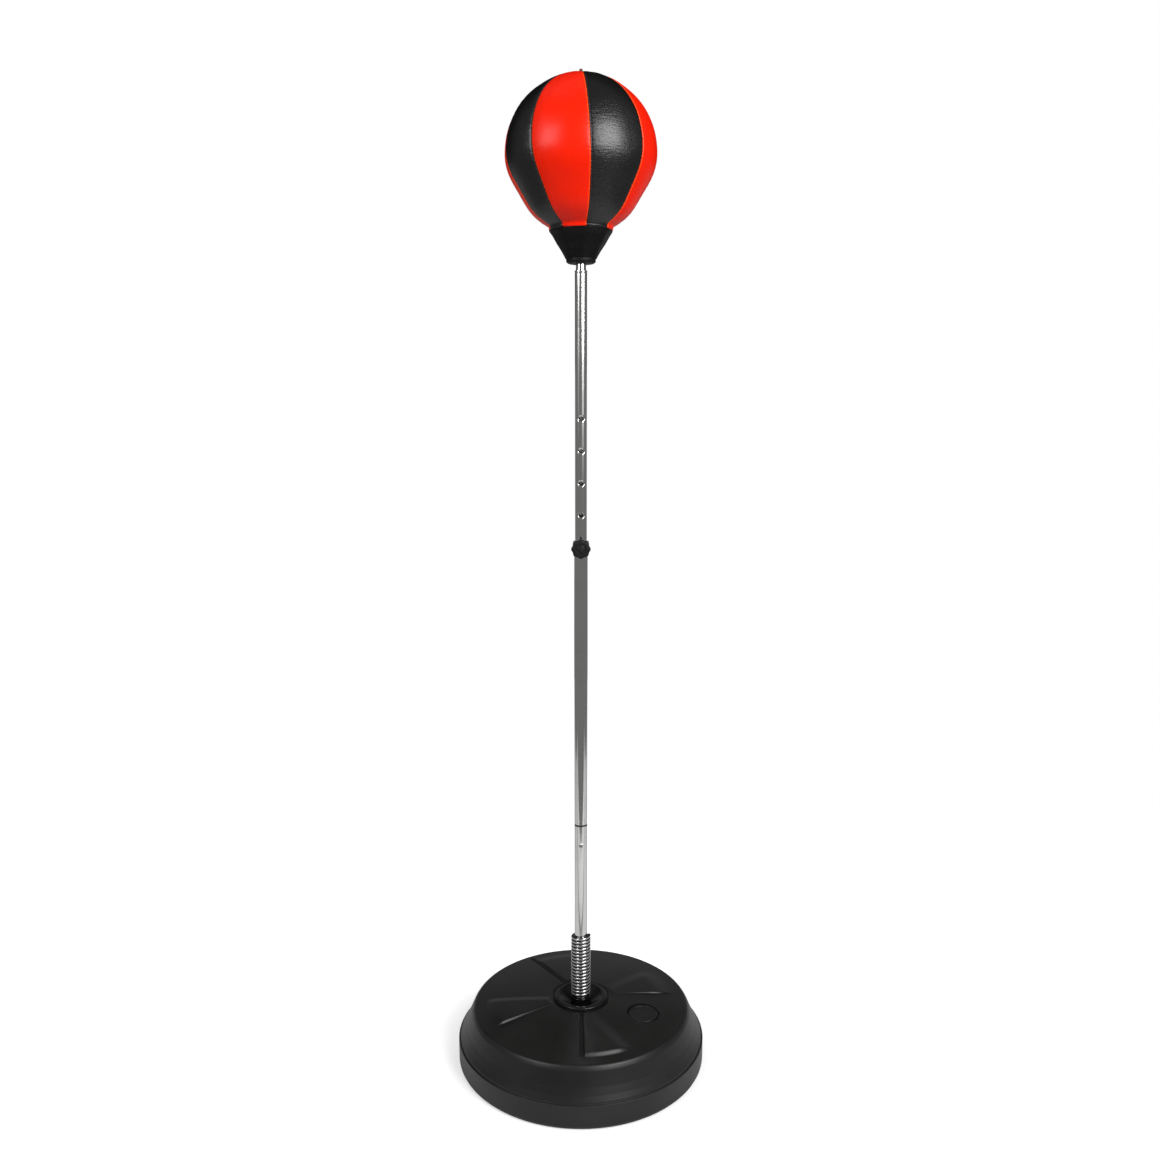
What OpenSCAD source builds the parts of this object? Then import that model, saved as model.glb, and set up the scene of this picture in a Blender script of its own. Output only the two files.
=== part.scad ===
// Free-standing reflex speed bag: a fillable round base, a close-wound coil spring, a
// telescopic pole with a screw-locked height adjustment, and an eight-panel inflated ball.
// Sizes are in millimetres, +Z is up, and the base rests on z = 0.

/* [Base] */
// Radius of the upright band round the foot of the base
base_r = 210; // [204:1:216]
// Height of the top face at its centre
base_h = 103.8; // [100:0.2:110]
// Height of the upright band
band_h = 42; // [38:1:46]
// Wall thickness of the moulded tank
base_wall = 4; // [3:0.5:4.5]
// Fall of the domed top from its centre to its rim
top_drop = 10.6; // [9:0.2:12]
// Height of the four raised vanes on the top
vane_rise = 2.4; // [1.6:0.2:3]
// Outer radius of the raised ring round the socket
ring_r = 45; // [42:1:50]

/* [Filler] */
// Sideways position of the filler cap
cap_x = 105; // [98:1:108]
// Fore and aft position of the filler cap
cap_y = -44; // [-50:1:-40]
// Radius of the filler cap
cap_r = 25; // [22:1:26]

/* [Spring] */
// Radius of the spring wire
wire_r = 2.85; // [2.6:0.05:2.9]
// Rise of one turn
pitch = 6; // [5.9:0.1:6.4]
// Number of turns
turns = 18; // [15:0.5:19]

/* [Pole] */
// Outer radius of the lower and middle tubes
tube_r = 11; // [10.6:0.1:12]
// Wall thickness of the lower and middle tubes
tube_wall = 1.4; // [1.2:0.1:1.6]
// Radial clearance of the sliding top tube
slide_gap = 0.1; // [0.05:0.01:0.1]
// Height of the seam between the lower and middle tubes
seam_z = 416; // [400:1:440]
// Height of the lock screw's axis
lock_z = 886; // [870:1:900]
// Spacing of the locating holes in the top tube
hole_pitch = 51; // [48:1:54]
// Height of the shoulder at the top of the top tube
shoulder_z = 1314; // [1280:1:1330]

/* [Knob] */
// Outer radius of the star knob over its lobes
knob_r = 14.5; // [13.5:0.5:16]
// Thickness of the star knob
knob_t = 13; // [12:0.5:16]

/* [Ball] */
// Radius of the inflated ball
ball_r = 116; // [114:1:118]
// Radius of the ball's cover at its lower edge
mouth_r = 55.2; // [53:0.2:58]
// Thickness of the padded cover
cover_t = 3; // [2.5:0.25:3.5]
// How far the lower half draws in towards the skirt
ball_pinch = 5; // [4:0.5:6]
// Height of the conical skirt under the ball
skirt_h = 49.4; // [46:0.2:54]

/* [Hidden] */
$fn = 96;
fit = 0.05;
soft = 0.3;

// base
foot_h = 6;
foot_w = 16;
foot_r = base_r - foot_w - 4;
floor_z = foot_h + base_wall;
rim_in = 34;
rim_r = base_r - rim_in;
shoulder_h = base_h - band_h;
column_r = 21;
bore_r = 16.3;
recess_r = 17;
web_z0 = 16;
web_z1 = 24;
dish_r = 17.5;
dish_z = base_h - 11.3;
ring_h = 3.2;
ring_in_r = ring_r - 9.5;
vane_starts = [7.5, 88.5, 177.6, 271.3];
vane_spans = [34.5, 33, 32.4, 30.7];
vane_in_r = ring_r + 12;
vane_out_r = base_r - 50;
vane_slope = 4;

// filler
pad_r = cap_r + 2;
pad_z = base_h - 9.8;
stem_r = cap_r - 8;
stem_l = 11;
seal_t = 1;
cap_t = 3.2;
neck_z = pad_z - stem_l;
grip_r = cap_r - 6;
grip_t = 1;

// socket
sleeve_r = 16;
sleeve_top = base_h + 2.2;
plug_r = tube_r;
plug_z = 60;
bolt_r = 6;
bolt_af = 19;
bolt_head = 7.5;
bolt_l = 34;
bolt_grip = 30;
washer_t = 2;
washer_r = 15;

// spring
coil_r = tube_r + soft + wire_r;
spring_z0 = sleeve_top;
spring_z1 = spring_z0 + 2 * wire_r + turns * pitch;
grip_l = 13;
wire_sides = 8;
turn_steps = 16;
ring_count = turns * turn_steps + 1;

// pole
tube_in = tube_r - tube_wall;
top_r = tube_in - slide_gap;
top_wall = 1.2;
top_in = top_r - top_wall;
lower_z0 = spring_z1 - grip_l;
seam_gap = 0.1;
collar_z0 = lock_z - 9;
collar_z1 = lock_z + 9;
collar_r = tube_r + 2.5;
collar_lip = 3;
middle_z1 = collar_z1 - collar_lip - 2 * fit;
joiner_r = tube_in - fit;
joiner_in = joiner_r - 1.6;
joiner_half = 54;
rivet_z = seam_z - 34;
rivet_r = 2.4;
rivet_head_r = 3.6;
rivet_head_t = 0.9;
top_below = 146;
top_z0 = lock_z - top_below;
hole_r = 3.8;
neck_r = 6;
neck_l = 14;
bush_t = 4;
bush_l = 12;

// lock screw, measured outwards from the pole's axis
screw_r = 4;
pin_r = 3.2;
pin_y = top_r + soft;
pin_l = 5.2;
nut_af = 14;
nut_y = collar_r + 6.5;
feed_l = 5;
feed_washer_y = nut_y + feed_l + soft;
feed_washer_t = 1.2;
knob_y = feed_washer_y + feed_washer_t + fit;
knob_hub = 8;
knob_back = 2.5;
lobe_r = 4.2;
lobe_count = 8;
knob_cap_r = 6;
knob_cap_t = 1.2;

// ball and its seat
rim_t = 8;
rim_disc_r = 23;
rim_z = shoulder_z + neck_l - 1;
skirt_z0 = rim_z + rim_t + soft;
skirt_z1 = skirt_z0 + skirt_h;
skirt_r0 = 21.5;
ball_drop = sqrt(ball_r * ball_r - mouth_r * mouth_r);
cover_z0 = skirt_z1 + soft;
ball_z = cover_z0 + ball_drop;
skirt_r1 = mouth_r - 1.2;
skirt_t = 3;
skirt_slope = (skirt_r1 - skirt_r0) / (skirt_z1 - skirt_z0);
seat_r0 = skirt_r0 - skirt_t - soft;
seat_t = 3;
seat_floor = 4;
bladder_t = 1.5;
bladder_in = cover_t + soft;
bladder_z0 = cover_z0 + 1;
seat_z1 = bladder_z0 - soft;
seat_r1 = radius_at(ball_drop, cover_t) - soft - 0.6;
seat_rim_z = skirt_z0 + (seat_r1 - seat_r0) / skirt_slope;
nut_z = skirt_z0 + seat_floor + washer_t;
nut_h = 10;
neck_top = nut_z + nut_h + 3;
valve_r = 4;
valve_x = 22;
crown_r = 8;
crown_dip = crown_r * crown_r / (2 * ball_r);
crown_t = 4;
tab_r = 3;
tab_h = 7;
seam_deg = 0.15;
panel_deg = 45;
first_seam = -129;
arc_step = 5;
drop_steps = 12;

matte_black = [0.06, 0.06, 0.065];
satin_black = [0.09, 0.09, 0.095];
gloss_black = [0.02, 0.02, 0.022];
chrome_grey = [0.78, 0.79, 0.8];
steel_grey = [0.55, 0.56, 0.58];
rubber_black = [0.05, 0.05, 0.05];
red_hide = [0.8, 0.05, 0.01];
black_hide = [0.03, 0.03, 0.03];
bladder_tan = [0.55, 0.3, 0.2];
tab_brown = [0.2, 0.1, 0.06];

// Height of the domed top at radius r, before its panels are sunk
function top_at(r) = base_h - top_drop * (r / rim_r) * (r / rim_r);

// Radius of the ball's surface at a depth below its equator, set in by t
function radius_at(d, t) =
    sqrt((ball_r - t) * (ball_r - t) - d * d) - ball_pinch * sin(180 * d / ball_drop);

// Half outline of the ball from radius r_top near the crown to a depth below the equator
function ball_outline(t, r_top, depth) = concat(
    [for (a = [asin(r_top / (ball_r - t)) : arc_step : 89])
        [(ball_r - t) * sin(a), ball_z + (ball_r - t) * cos(a)]],
    [for (i = [0 : drop_steps])
        [radius_at(depth * i / drop_steps, t), ball_z - depth * i / drop_steps]]
);

// The list of points p in the opposite order
function backwards(p) = [for (i = [len(p) - 1 : -1 : 0]) p[i]];

// A straight tube from z0 to z1
module tube(r_out, r_in, z0, z1) {
    translate([0, 0, z0])
    difference() {
        cylinder(r = r_out, h = z1 - z0);
        translate([0, 0, -1]) cylinder(r = r_in, h = z1 - z0 + 2);
    }
}

// Places its child with +Z pointing out of the front of the pole, y mm from the axis
module at_front(z, y) {
    translate([0, -y, z]) rotate([90, 0, 0]) children();
}

// A hexagonal nut or bolt head, af across its flats
module hexagon(af, h) {
    cylinder(r = af / sqrt(3), h = h, $fn = 6);
}

// A wedge-shaped vane raised on the domed top between two directions
module raised_vane(start, span) {
    steps = 6;
    radii = [for (i = [0 : steps]) vane_in_r + (vane_out_r - vane_in_r) * i / steps];
    foot_out = vane_out_r + vane_slope;
    foot_in = vane_in_r - vane_slope;
    rotate([0, 0, start])
    rotate_extrude(angle = span)
    polygon(concat(
        [for (r = radii) [r, top_at(r) + vane_rise]],
        [[foot_out, top_at(foot_out) - 1], [foot_in, top_at(foot_in) - 1]]
    ));
}

// Outline of the tank's outside, from the bore round the foot to the raised ring
function shell_outline() = concat(
    [
        [bore_r, dish_z - 1], [bore_r, web_z1], [bolt_r + 0.5, web_z1],
        [bolt_r + 0.5, web_z0], [recess_r, web_z0], [recess_r, foot_h],
        [foot_r, foot_h], [base_r - foot_w, 0], [base_r - 4, 0], [base_r - 1.2, 1.2],
        [base_r, 4], [base_r, band_h - 1], [base_r - 0.8, band_h],
        [base_r - 2.6, band_h + 0.8], [base_r - 3.2, band_h + 3],
        [base_r - 0.24 * rim_in, band_h + 0.18 * shoulder_h],
        [base_r - 0.41 * rim_in, band_h + 0.36 * shoulder_h],
        [base_r - 0.56 * rim_in, band_h + 0.55 * shoulder_h],
        [base_r - 0.66 * rim_in, band_h + 0.68 * shoulder_h],
        [base_r - 0.74 * rim_in, band_h + 0.76 * shoulder_h],
        [base_r - 0.84 * rim_in, top_at(rim_r) - 1.6]
    ],
    [for (i = [0 : 8]) let (r = rim_r + (ring_r - rim_r) * i / 8) [r, top_at(r)]],
    [
        [ring_r - 1, base_h + ring_h - 1.2], [ring_r - 3, base_h + ring_h],
        [ring_in_r + 2.5, base_h + ring_h], [ring_in_r + 0.8, base_h + ring_h - 0.8],
        [ring_in_r, base_h - 0.3], [dish_r, dish_z]
    ]
);

// Outline of the hollow inside the tank
function tank_outline() = concat(
    [
        [column_r, floor_z], [base_r - base_wall, floor_z],
        [base_r - base_wall, band_h - base_wall], [base_r - base_wall - 4, band_h + 2],
        [base_r - base_wall - 0.26 * rim_in, band_h + 0.18 * shoulder_h],
        [base_r - base_wall - 0.44 * rim_in, band_h + 0.36 * shoulder_h],
        [base_r - base_wall - 0.59 * rim_in, band_h + 0.55 * shoulder_h],
        [base_r - base_wall - 0.7 * rim_in, band_h + 0.68 * shoulder_h]
    ],
    [for (i = [0 : 6]) let (r = rim_r - 3 + (ring_r - rim_r) * i / 6) [r, top_at(r) - base_wall]],
    [[ring_in_r + 2, base_h - base_wall], [column_r, dish_z - base_wall]]
);

module base_shell() {
    color(satin_black)
    difference() {
        union() {
            difference() {
                rotate_extrude() polygon(shell_outline());
                rotate_extrude() polygon(tank_outline());
            }
            translate([cap_x, cap_y, neck_z]) cylinder(r = pad_r + 3, h = stem_l - 0.6);
            for (i = [0 : 3]) raised_vane(vane_starts[i], vane_spans[i]);
        }
        translate([cap_x, cap_y, pad_z]) cylinder(r = pad_r, h = 20);
        translate([cap_x, cap_y, neck_z - 1]) cylinder(r = stem_r + soft, h = stem_l + 2);
    }
}

module socket_sleeve() {
    color(gloss_black)
    difference() {
        translate([0, 0, web_z1]) cylinder(r = sleeve_r, h = sleeve_top - web_z1);
        translate([0, 0, web_z1 - 1]) cylinder(r = bolt_r + fit, h = bolt_grip);
        translate([0, 0, plug_z]) cylinder(r = plug_r + fit, h = sleeve_top);
    }
}

module spring_plug() {
    color(steel_grey)
    translate([0, 0, plug_z]) cylinder(r = plug_r, h = sleeve_top - plug_z + grip_l);
}

module base_bolt() {
    color(steel_grey) {
        translate([0, 0, web_z0 - washer_t - bolt_head]) hexagon(bolt_af, bolt_head);
        translate([0, 0, web_z0 - washer_t - 1]) cylinder(r = bolt_r, h = bolt_l);
    }
}

module base_washer() {
    color(steel_grey) tube(washer_r, bolt_r + 0.4, web_z0 - washer_t, web_z0);
}

module fill_plug() {
    color(gloss_black)
    translate([cap_x, cap_y, pad_z + seal_t])
    difference() {
        union() {
            cylinder(r = cap_r, h = cap_t - 0.8);
            translate([0, 0, cap_t - 0.8]) cylinder(r1 = cap_r, r2 = cap_r - 0.8, h = 0.8);
            translate([0, 0, -stem_l - seal_t]) cylinder(r = stem_r, h = stem_l + seal_t);
        }
        translate([0, 0, cap_t - grip_t]) cylinder(r = grip_r, h = grip_t + 1);
        translate([0, 0, -stem_l - seal_t - 1]) cylinder(r = stem_r - 3, h = stem_l);
    }
}

module fill_seal() {
    color(rubber_black)
    translate([cap_x, cap_y, 0]) tube(cap_r - 2, stem_r + fit, pad_z, pad_z + seal_t);
}

module coil_spring() {
    color(chrome_grey)
    translate([0, 0, spring_z0 + wire_r])
    polyhedron(
        points = [
            for (i = [0 : ring_count - 1], j = [0 : wire_sides - 1])
                let (a = 360 * i / turn_steps, b = 360 * (j + 0.5) / wire_sides)
                [(coil_r + wire_r * cos(b)) * cos(a), (coil_r + wire_r * cos(b)) * sin(a),
                 pitch * i / turn_steps + wire_r * sin(b)]
        ],
        faces = concat(
            [for (i = [0 : ring_count - 2], j = [0 : wire_sides - 1])
                let (k = (j + 1) % wire_sides, p = i * wire_sides, q = p + wire_sides)
                [p + j, p + k, q + k, q + j]],
            [[for (j = [wire_sides - 1 : -1 : 0]) j]],
            [[for (j = [0 : wire_sides - 1]) (ring_count - 1) * wire_sides + j]]
        )
    );
}

module lower_tube() {
    color(chrome_grey)
    difference() {
        tube(tube_r, tube_in, lower_z0, seam_z - seam_gap);
        at_front(rivet_z, 0) cylinder(r = rivet_r + fit, h = tube_r + 1);
    }
}

module tube_joiner() {
    color(steel_grey)
    difference() {
        tube(joiner_r, joiner_in, seam_z - joiner_half, seam_z + joiner_half);
        at_front(rivet_z, 0) cylinder(r = rivet_r + fit, h = tube_r + 1);
    }
}

module joiner_rivet() {
    color(steel_grey)
    at_front(rivet_z, joiner_in - 1) {
        cylinder(r = rivet_r, h = tube_r - joiner_in + 1.2);
        translate([0, 0, tube_r - joiner_in + 1.2])
        cylinder(r1 = rivet_head_r, r2 = rivet_head_r - 1.2, h = rivet_head_t);
    }
}

module middle_tube() {
    color(chrome_grey)
    difference() {
        tube(tube_r, tube_in, seam_z + seam_gap, middle_z1);
        at_front(lock_z, 0) cylinder(r = screw_r + fit, h = tube_r + 1);
    }
}

module collar() {
    color(chrome_grey)
    difference() {
        translate([0, 0, collar_z0]) cylinder(r = collar_r, h = collar_z1 - collar_z0);
        translate([0, 0, collar_z0 - 1]) cylinder(r = tube_r + fit, h = middle_z1 - collar_z0 + 1 + fit);
        translate([0, 0, collar_z0]) cylinder(r = top_r + 2 * slide_gap, h = collar_z1 - collar_z0 + 1);
        at_front(lock_z, 0) cylinder(r = screw_r + fit, h = collar_r + 1);
    }
}

module collar_nut() {
    color(steel_grey)
    difference() {
        at_front(lock_z, 0) hexagon(nut_af, nut_y);
        translate([0, 0, collar_z0 - 1]) cylinder(r = collar_r + fit, h = collar_z1 - collar_z0 + 2);
        at_front(lock_z, 0) cylinder(r = screw_r + fit, h = nut_y + 1);
    }
}

module feed_washer() {
    color(steel_grey)
    at_front(lock_z, feed_washer_y) tube(knob_hub, screw_r + 0.2, 0, feed_washer_t);
}

module lock_screw() {
    color(steel_grey)
    at_front(lock_z, pin_y) {
        cylinder(r1 = pin_r - 0.6, r2 = pin_r, h = 0.6);
        translate([0, 0, 0.6]) cylinder(r = pin_r, h = pin_l);
        translate([0, 0, pin_l]) cylinder(r = screw_r, h = knob_y - pin_y - pin_l + knob_t - 4);
    }
}

module star_knob() {
    color(matte_black)
    at_front(lock_z, knob_y)
    difference() {
        union() {
            cylinder(r = knob_hub, h = knob_t);
            translate([0, 0, knob_back]) cylinder(r = knob_r - lobe_r, h = knob_t - knob_back);
            for (i = [0 : lobe_count - 1])
                rotate([0, 0, 360 * i / lobe_count])
                translate([knob_r - lobe_r, 0, knob_back])
                cylinder(r = lobe_r, h = knob_t - knob_back);
        }
        translate([0, 0, -1]) cylinder(r = screw_r + fit, h = knob_t - 3 + fit);
        translate([0, 0, knob_t - 1]) cylinder(r = knob_cap_r + fit, h = 2);
    }
}

module knob_cap() {
    color(gloss_black)
    at_front(lock_z, knob_y + knob_t - 1 + fit) {
        cylinder(r = knob_cap_r, h = knob_cap_t);
        translate([0, 0, knob_cap_t]) cylinder(r1 = knob_cap_r, r2 = knob_cap_r - 2, h = 0.6);
    }
}

module top_tube() {
    color(chrome_grey)
    difference() {
        union() {
            tube(top_r, top_in, top_z0, shoulder_z);
            translate([0, 0, shoulder_z - 2]) cylinder(r = top_r, h = 2);
            translate([0, 0, shoulder_z]) cylinder(r1 = top_r, r2 = neck_r, h = neck_l - 4);
            translate([0, 0, shoulder_z]) cylinder(r = neck_r, h = neck_top - shoulder_z);
        }
        for (i = [-1 : 4])
            at_front(lock_z + i * hole_pitch, 0) cylinder(r = hole_r, h = top_r + 1);
    }
}

module end_bush() {
    color(rubber_black) {
        translate([0, 0, top_z0 - bush_t]) cylinder(r = top_r, h = bush_t);
        translate([0, 0, top_z0 - 1]) cylinder(r = top_in - fit, h = bush_l);
    }
}

module rim_disc() {
    color(gloss_black)
    difference() {
        union() {
            translate([0, 0, rim_z]) cylinder(r1 = rim_disc_r - 1, r2 = rim_disc_r, h = 1);
            translate([0, 0, rim_z + 1]) cylinder(r = rim_disc_r, h = rim_t - 2);
            translate([0, 0, rim_z + rim_t - 1]) cylinder(r1 = rim_disc_r, r2 = rim_disc_r - 1, h = 1);
        }
        translate([0, 0, rim_z - 1]) cylinder(r = neck_r + fit, h = rim_t + 2);
    }
}

module ball_seat() {
    color(matte_black)
    rotate_extrude()
    polygon([
        [neck_r + 0.3, skirt_z0 - soft], [seat_r0, skirt_z0 - soft], [seat_r0, skirt_z0],
        [seat_r1, seat_rim_z], [seat_r1, seat_z1], [seat_r1 - seat_t, seat_z1],
        [seat_r1 - seat_t, seat_rim_z + 2],
        [seat_r0 - seat_t + seat_floor * skirt_slope, skirt_z0 + seat_floor],
        [neck_r + 0.3, skirt_z0 + seat_floor]
    ]);
}

module seat_washer() {
    color(steel_grey) tube(13, neck_r + 0.3, nut_z - washer_t, nut_z);
}

module seat_nut() {
    color(steel_grey)
    translate([0, 0, nut_z])
    difference() {
        hexagon(bolt_af, nut_h);
        translate([0, 0, -1]) cylinder(r = neck_r + fit, h = nut_h + 2);
    }
}

module skirt() {
    color(black_hide)
    rotate_extrude()
    polygon([
        [skirt_r0 - skirt_t, skirt_z0], [skirt_r0, skirt_z0], [skirt_r1, skirt_z1],
        [skirt_r1 - skirt_t, skirt_z1]
    ]);
}

module bladder() {
    outer = ball_outline(bladder_in, 0.01, ball_z - bladder_z0);
    inner = ball_outline(bladder_in + bladder_t, 0.01, ball_z - bladder_z0 - bladder_t);
    color(bladder_tan)
    rotate_extrude()
    polygon(concat(
        [[0, ball_z + ball_r - bladder_in]], outer, [[0, bladder_z0], [0, bladder_z0 + bladder_t]],
        backwards(inner), [[0, ball_z + ball_r - bladder_in - bladder_t]]
    ));
}

module bladder_valve() {
    color(rubber_black)
    translate([valve_x, 0, bladder_z0 - 8]) {
        cylinder(r = valve_r, h = 7.9);
        translate([0, 0, -2]) cylinder(r1 = valve_r - 1, r2 = valve_r, h = 2);
    }
}

// One sewn panel of the cover; k counts panels anticlockwise from the one facing the front
module cover_panel(k) {
    rotate([0, 0, first_seam + panel_deg * k + seam_deg / 2])
    rotate_extrude(angle = panel_deg - seam_deg)
    polygon(concat(
        ball_outline(0, crown_r, ball_drop),
        backwards(ball_outline(cover_t, crown_r, ball_drop))
    ));
}

module crown_button() {
    color(red_hide)
    translate([0, 0, ball_z + ball_r - crown_dip - cover_t + 0.4])
    cylinder(r = crown_r - soft, h = crown_t - 0.4);
}

module crown_tab() {
    color(tab_brown)
    translate([0, 0, ball_z + ball_r - crown_dip - cover_t + crown_t]) {
        cylinder(r = tab_r, h = tab_h - 1);
        translate([0, 0, tab_h - 1]) cylinder(r1 = tab_r, r2 = tab_r - 1, h = 1);
    }
}

base_shell();
socket_sleeve();
spring_plug();
base_bolt();
base_washer();
fill_plug();
fill_seal();
coil_spring();
lower_tube();
tube_joiner();
joiner_rivet();
middle_tube();
collar();
collar_nut();
feed_washer();
lock_screw();
star_knob();
knob_cap();
top_tube();
end_bush();
rim_disc();
ball_seat();
seat_washer();
seat_nut();
skirt();
bladder();
bladder_valve();
color(red_hide) cover_panel(0);  // panel_red_1
color(black_hide) cover_panel(1);  // panel_black_1
color(red_hide) cover_panel(2);  // panel_red_2
color(black_hide) cover_panel(3);  // panel_black_2
color(red_hide) cover_panel(4);  // panel_red_3
color(black_hide) cover_panel(5);  // panel_black_3
color(red_hide) cover_panel(6);  // panel_red_4
color(black_hide) cover_panel(7);  // panel_black_4
crown_button();
crown_tab();
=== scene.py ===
"""Looks of a free-standing reflex speed bag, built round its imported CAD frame.

The base is a fillable moulding, the pole is sprung and telescopic, and the ball is an
inflated leather cover of eight panels. Sizes in the classes are in millimetres, and the
meshes are in metres in the frame of the CAD model: +Z is up and -Y is the front.
"""

from __future__ import annotations

import bisect
import functools
import logging
import math
from dataclasses import dataclass
from enum import Enum
from typing import Iterable, Mapping, Sequence, Union

import bmesh
import bpy
from mathutils import Matrix, Vector, noise


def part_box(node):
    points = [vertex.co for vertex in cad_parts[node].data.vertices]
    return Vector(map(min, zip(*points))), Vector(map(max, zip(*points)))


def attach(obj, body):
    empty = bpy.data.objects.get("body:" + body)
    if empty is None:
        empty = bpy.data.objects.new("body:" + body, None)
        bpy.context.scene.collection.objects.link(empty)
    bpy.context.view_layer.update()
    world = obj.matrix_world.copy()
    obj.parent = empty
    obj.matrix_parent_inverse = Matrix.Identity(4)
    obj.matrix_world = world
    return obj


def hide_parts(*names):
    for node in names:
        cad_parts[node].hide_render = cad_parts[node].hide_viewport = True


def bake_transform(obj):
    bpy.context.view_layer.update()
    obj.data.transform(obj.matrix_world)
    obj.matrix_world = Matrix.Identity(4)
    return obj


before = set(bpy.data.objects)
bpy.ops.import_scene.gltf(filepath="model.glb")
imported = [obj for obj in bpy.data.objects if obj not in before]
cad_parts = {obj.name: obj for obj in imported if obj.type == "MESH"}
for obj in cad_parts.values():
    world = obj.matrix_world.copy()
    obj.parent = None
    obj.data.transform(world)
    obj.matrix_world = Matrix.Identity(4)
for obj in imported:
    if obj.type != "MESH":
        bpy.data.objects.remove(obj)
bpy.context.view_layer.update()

LOG = logging.getLogger("speed_bag")
MM = 0.001
SCREW_HOLE_R = 4.2
Value = Union[float, Sequence[float], "Socket"]
Point = tuple[float, float]
Corner = tuple[float, float, float]
Mesh = bmesh.types.BMesh
Object = bpy.types.Object


class Slot(Enum):
    """Material slots of the record, which no piece here takes."""

    BASE = "base"
    GLOSS_BLACK = "gloss_black"
    PLUG = "plug"
    KNOB = "knob"
    CHROME = "chrome"
    STEEL = "steel"
    RED_LEATHER = "red_leather"
    BLACK_LEATHER = "black_leather"
    TAB_LEATHER = "tab_leather"


class Body(Enum):
    """Bodies of the record that the pieces ride on."""

    BASE = "base"
    FILL_PLUG = "fill_plug"
    SPRING = "spring"
    POLE = "pole"
    KNOB = "knob"
    UPPER = "upper"


# ---------------------------------------------------------------- shader graphs


class Socket:
    """A shader output that Python's operators combine through Math nodes."""

    def __init__(self, graph: "Graph", out: bpy.types.NodeSocket) -> None:
        """Keeps the graph and the output that it stands for."""
        self.graph = graph
        self.out = out

    def __add__(self, other: Value) -> "Socket":
        """Sum of two values."""
        return self.graph.math("ADD", self, other)

    def __sub__(self, other: Value) -> "Socket":
        """This value less another."""
        return self.graph.math("SUBTRACT", self, other)

    def __rsub__(self, other: Value) -> "Socket":
        """Another value less this one."""
        return self.graph.math("SUBTRACT", other, self)

    def __mul__(self, other: Value) -> "Socket":
        """Product of two values."""
        return self.graph.math("MULTIPLY", self, other)

    __radd__ = __add__
    __rmul__ = __mul__


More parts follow.
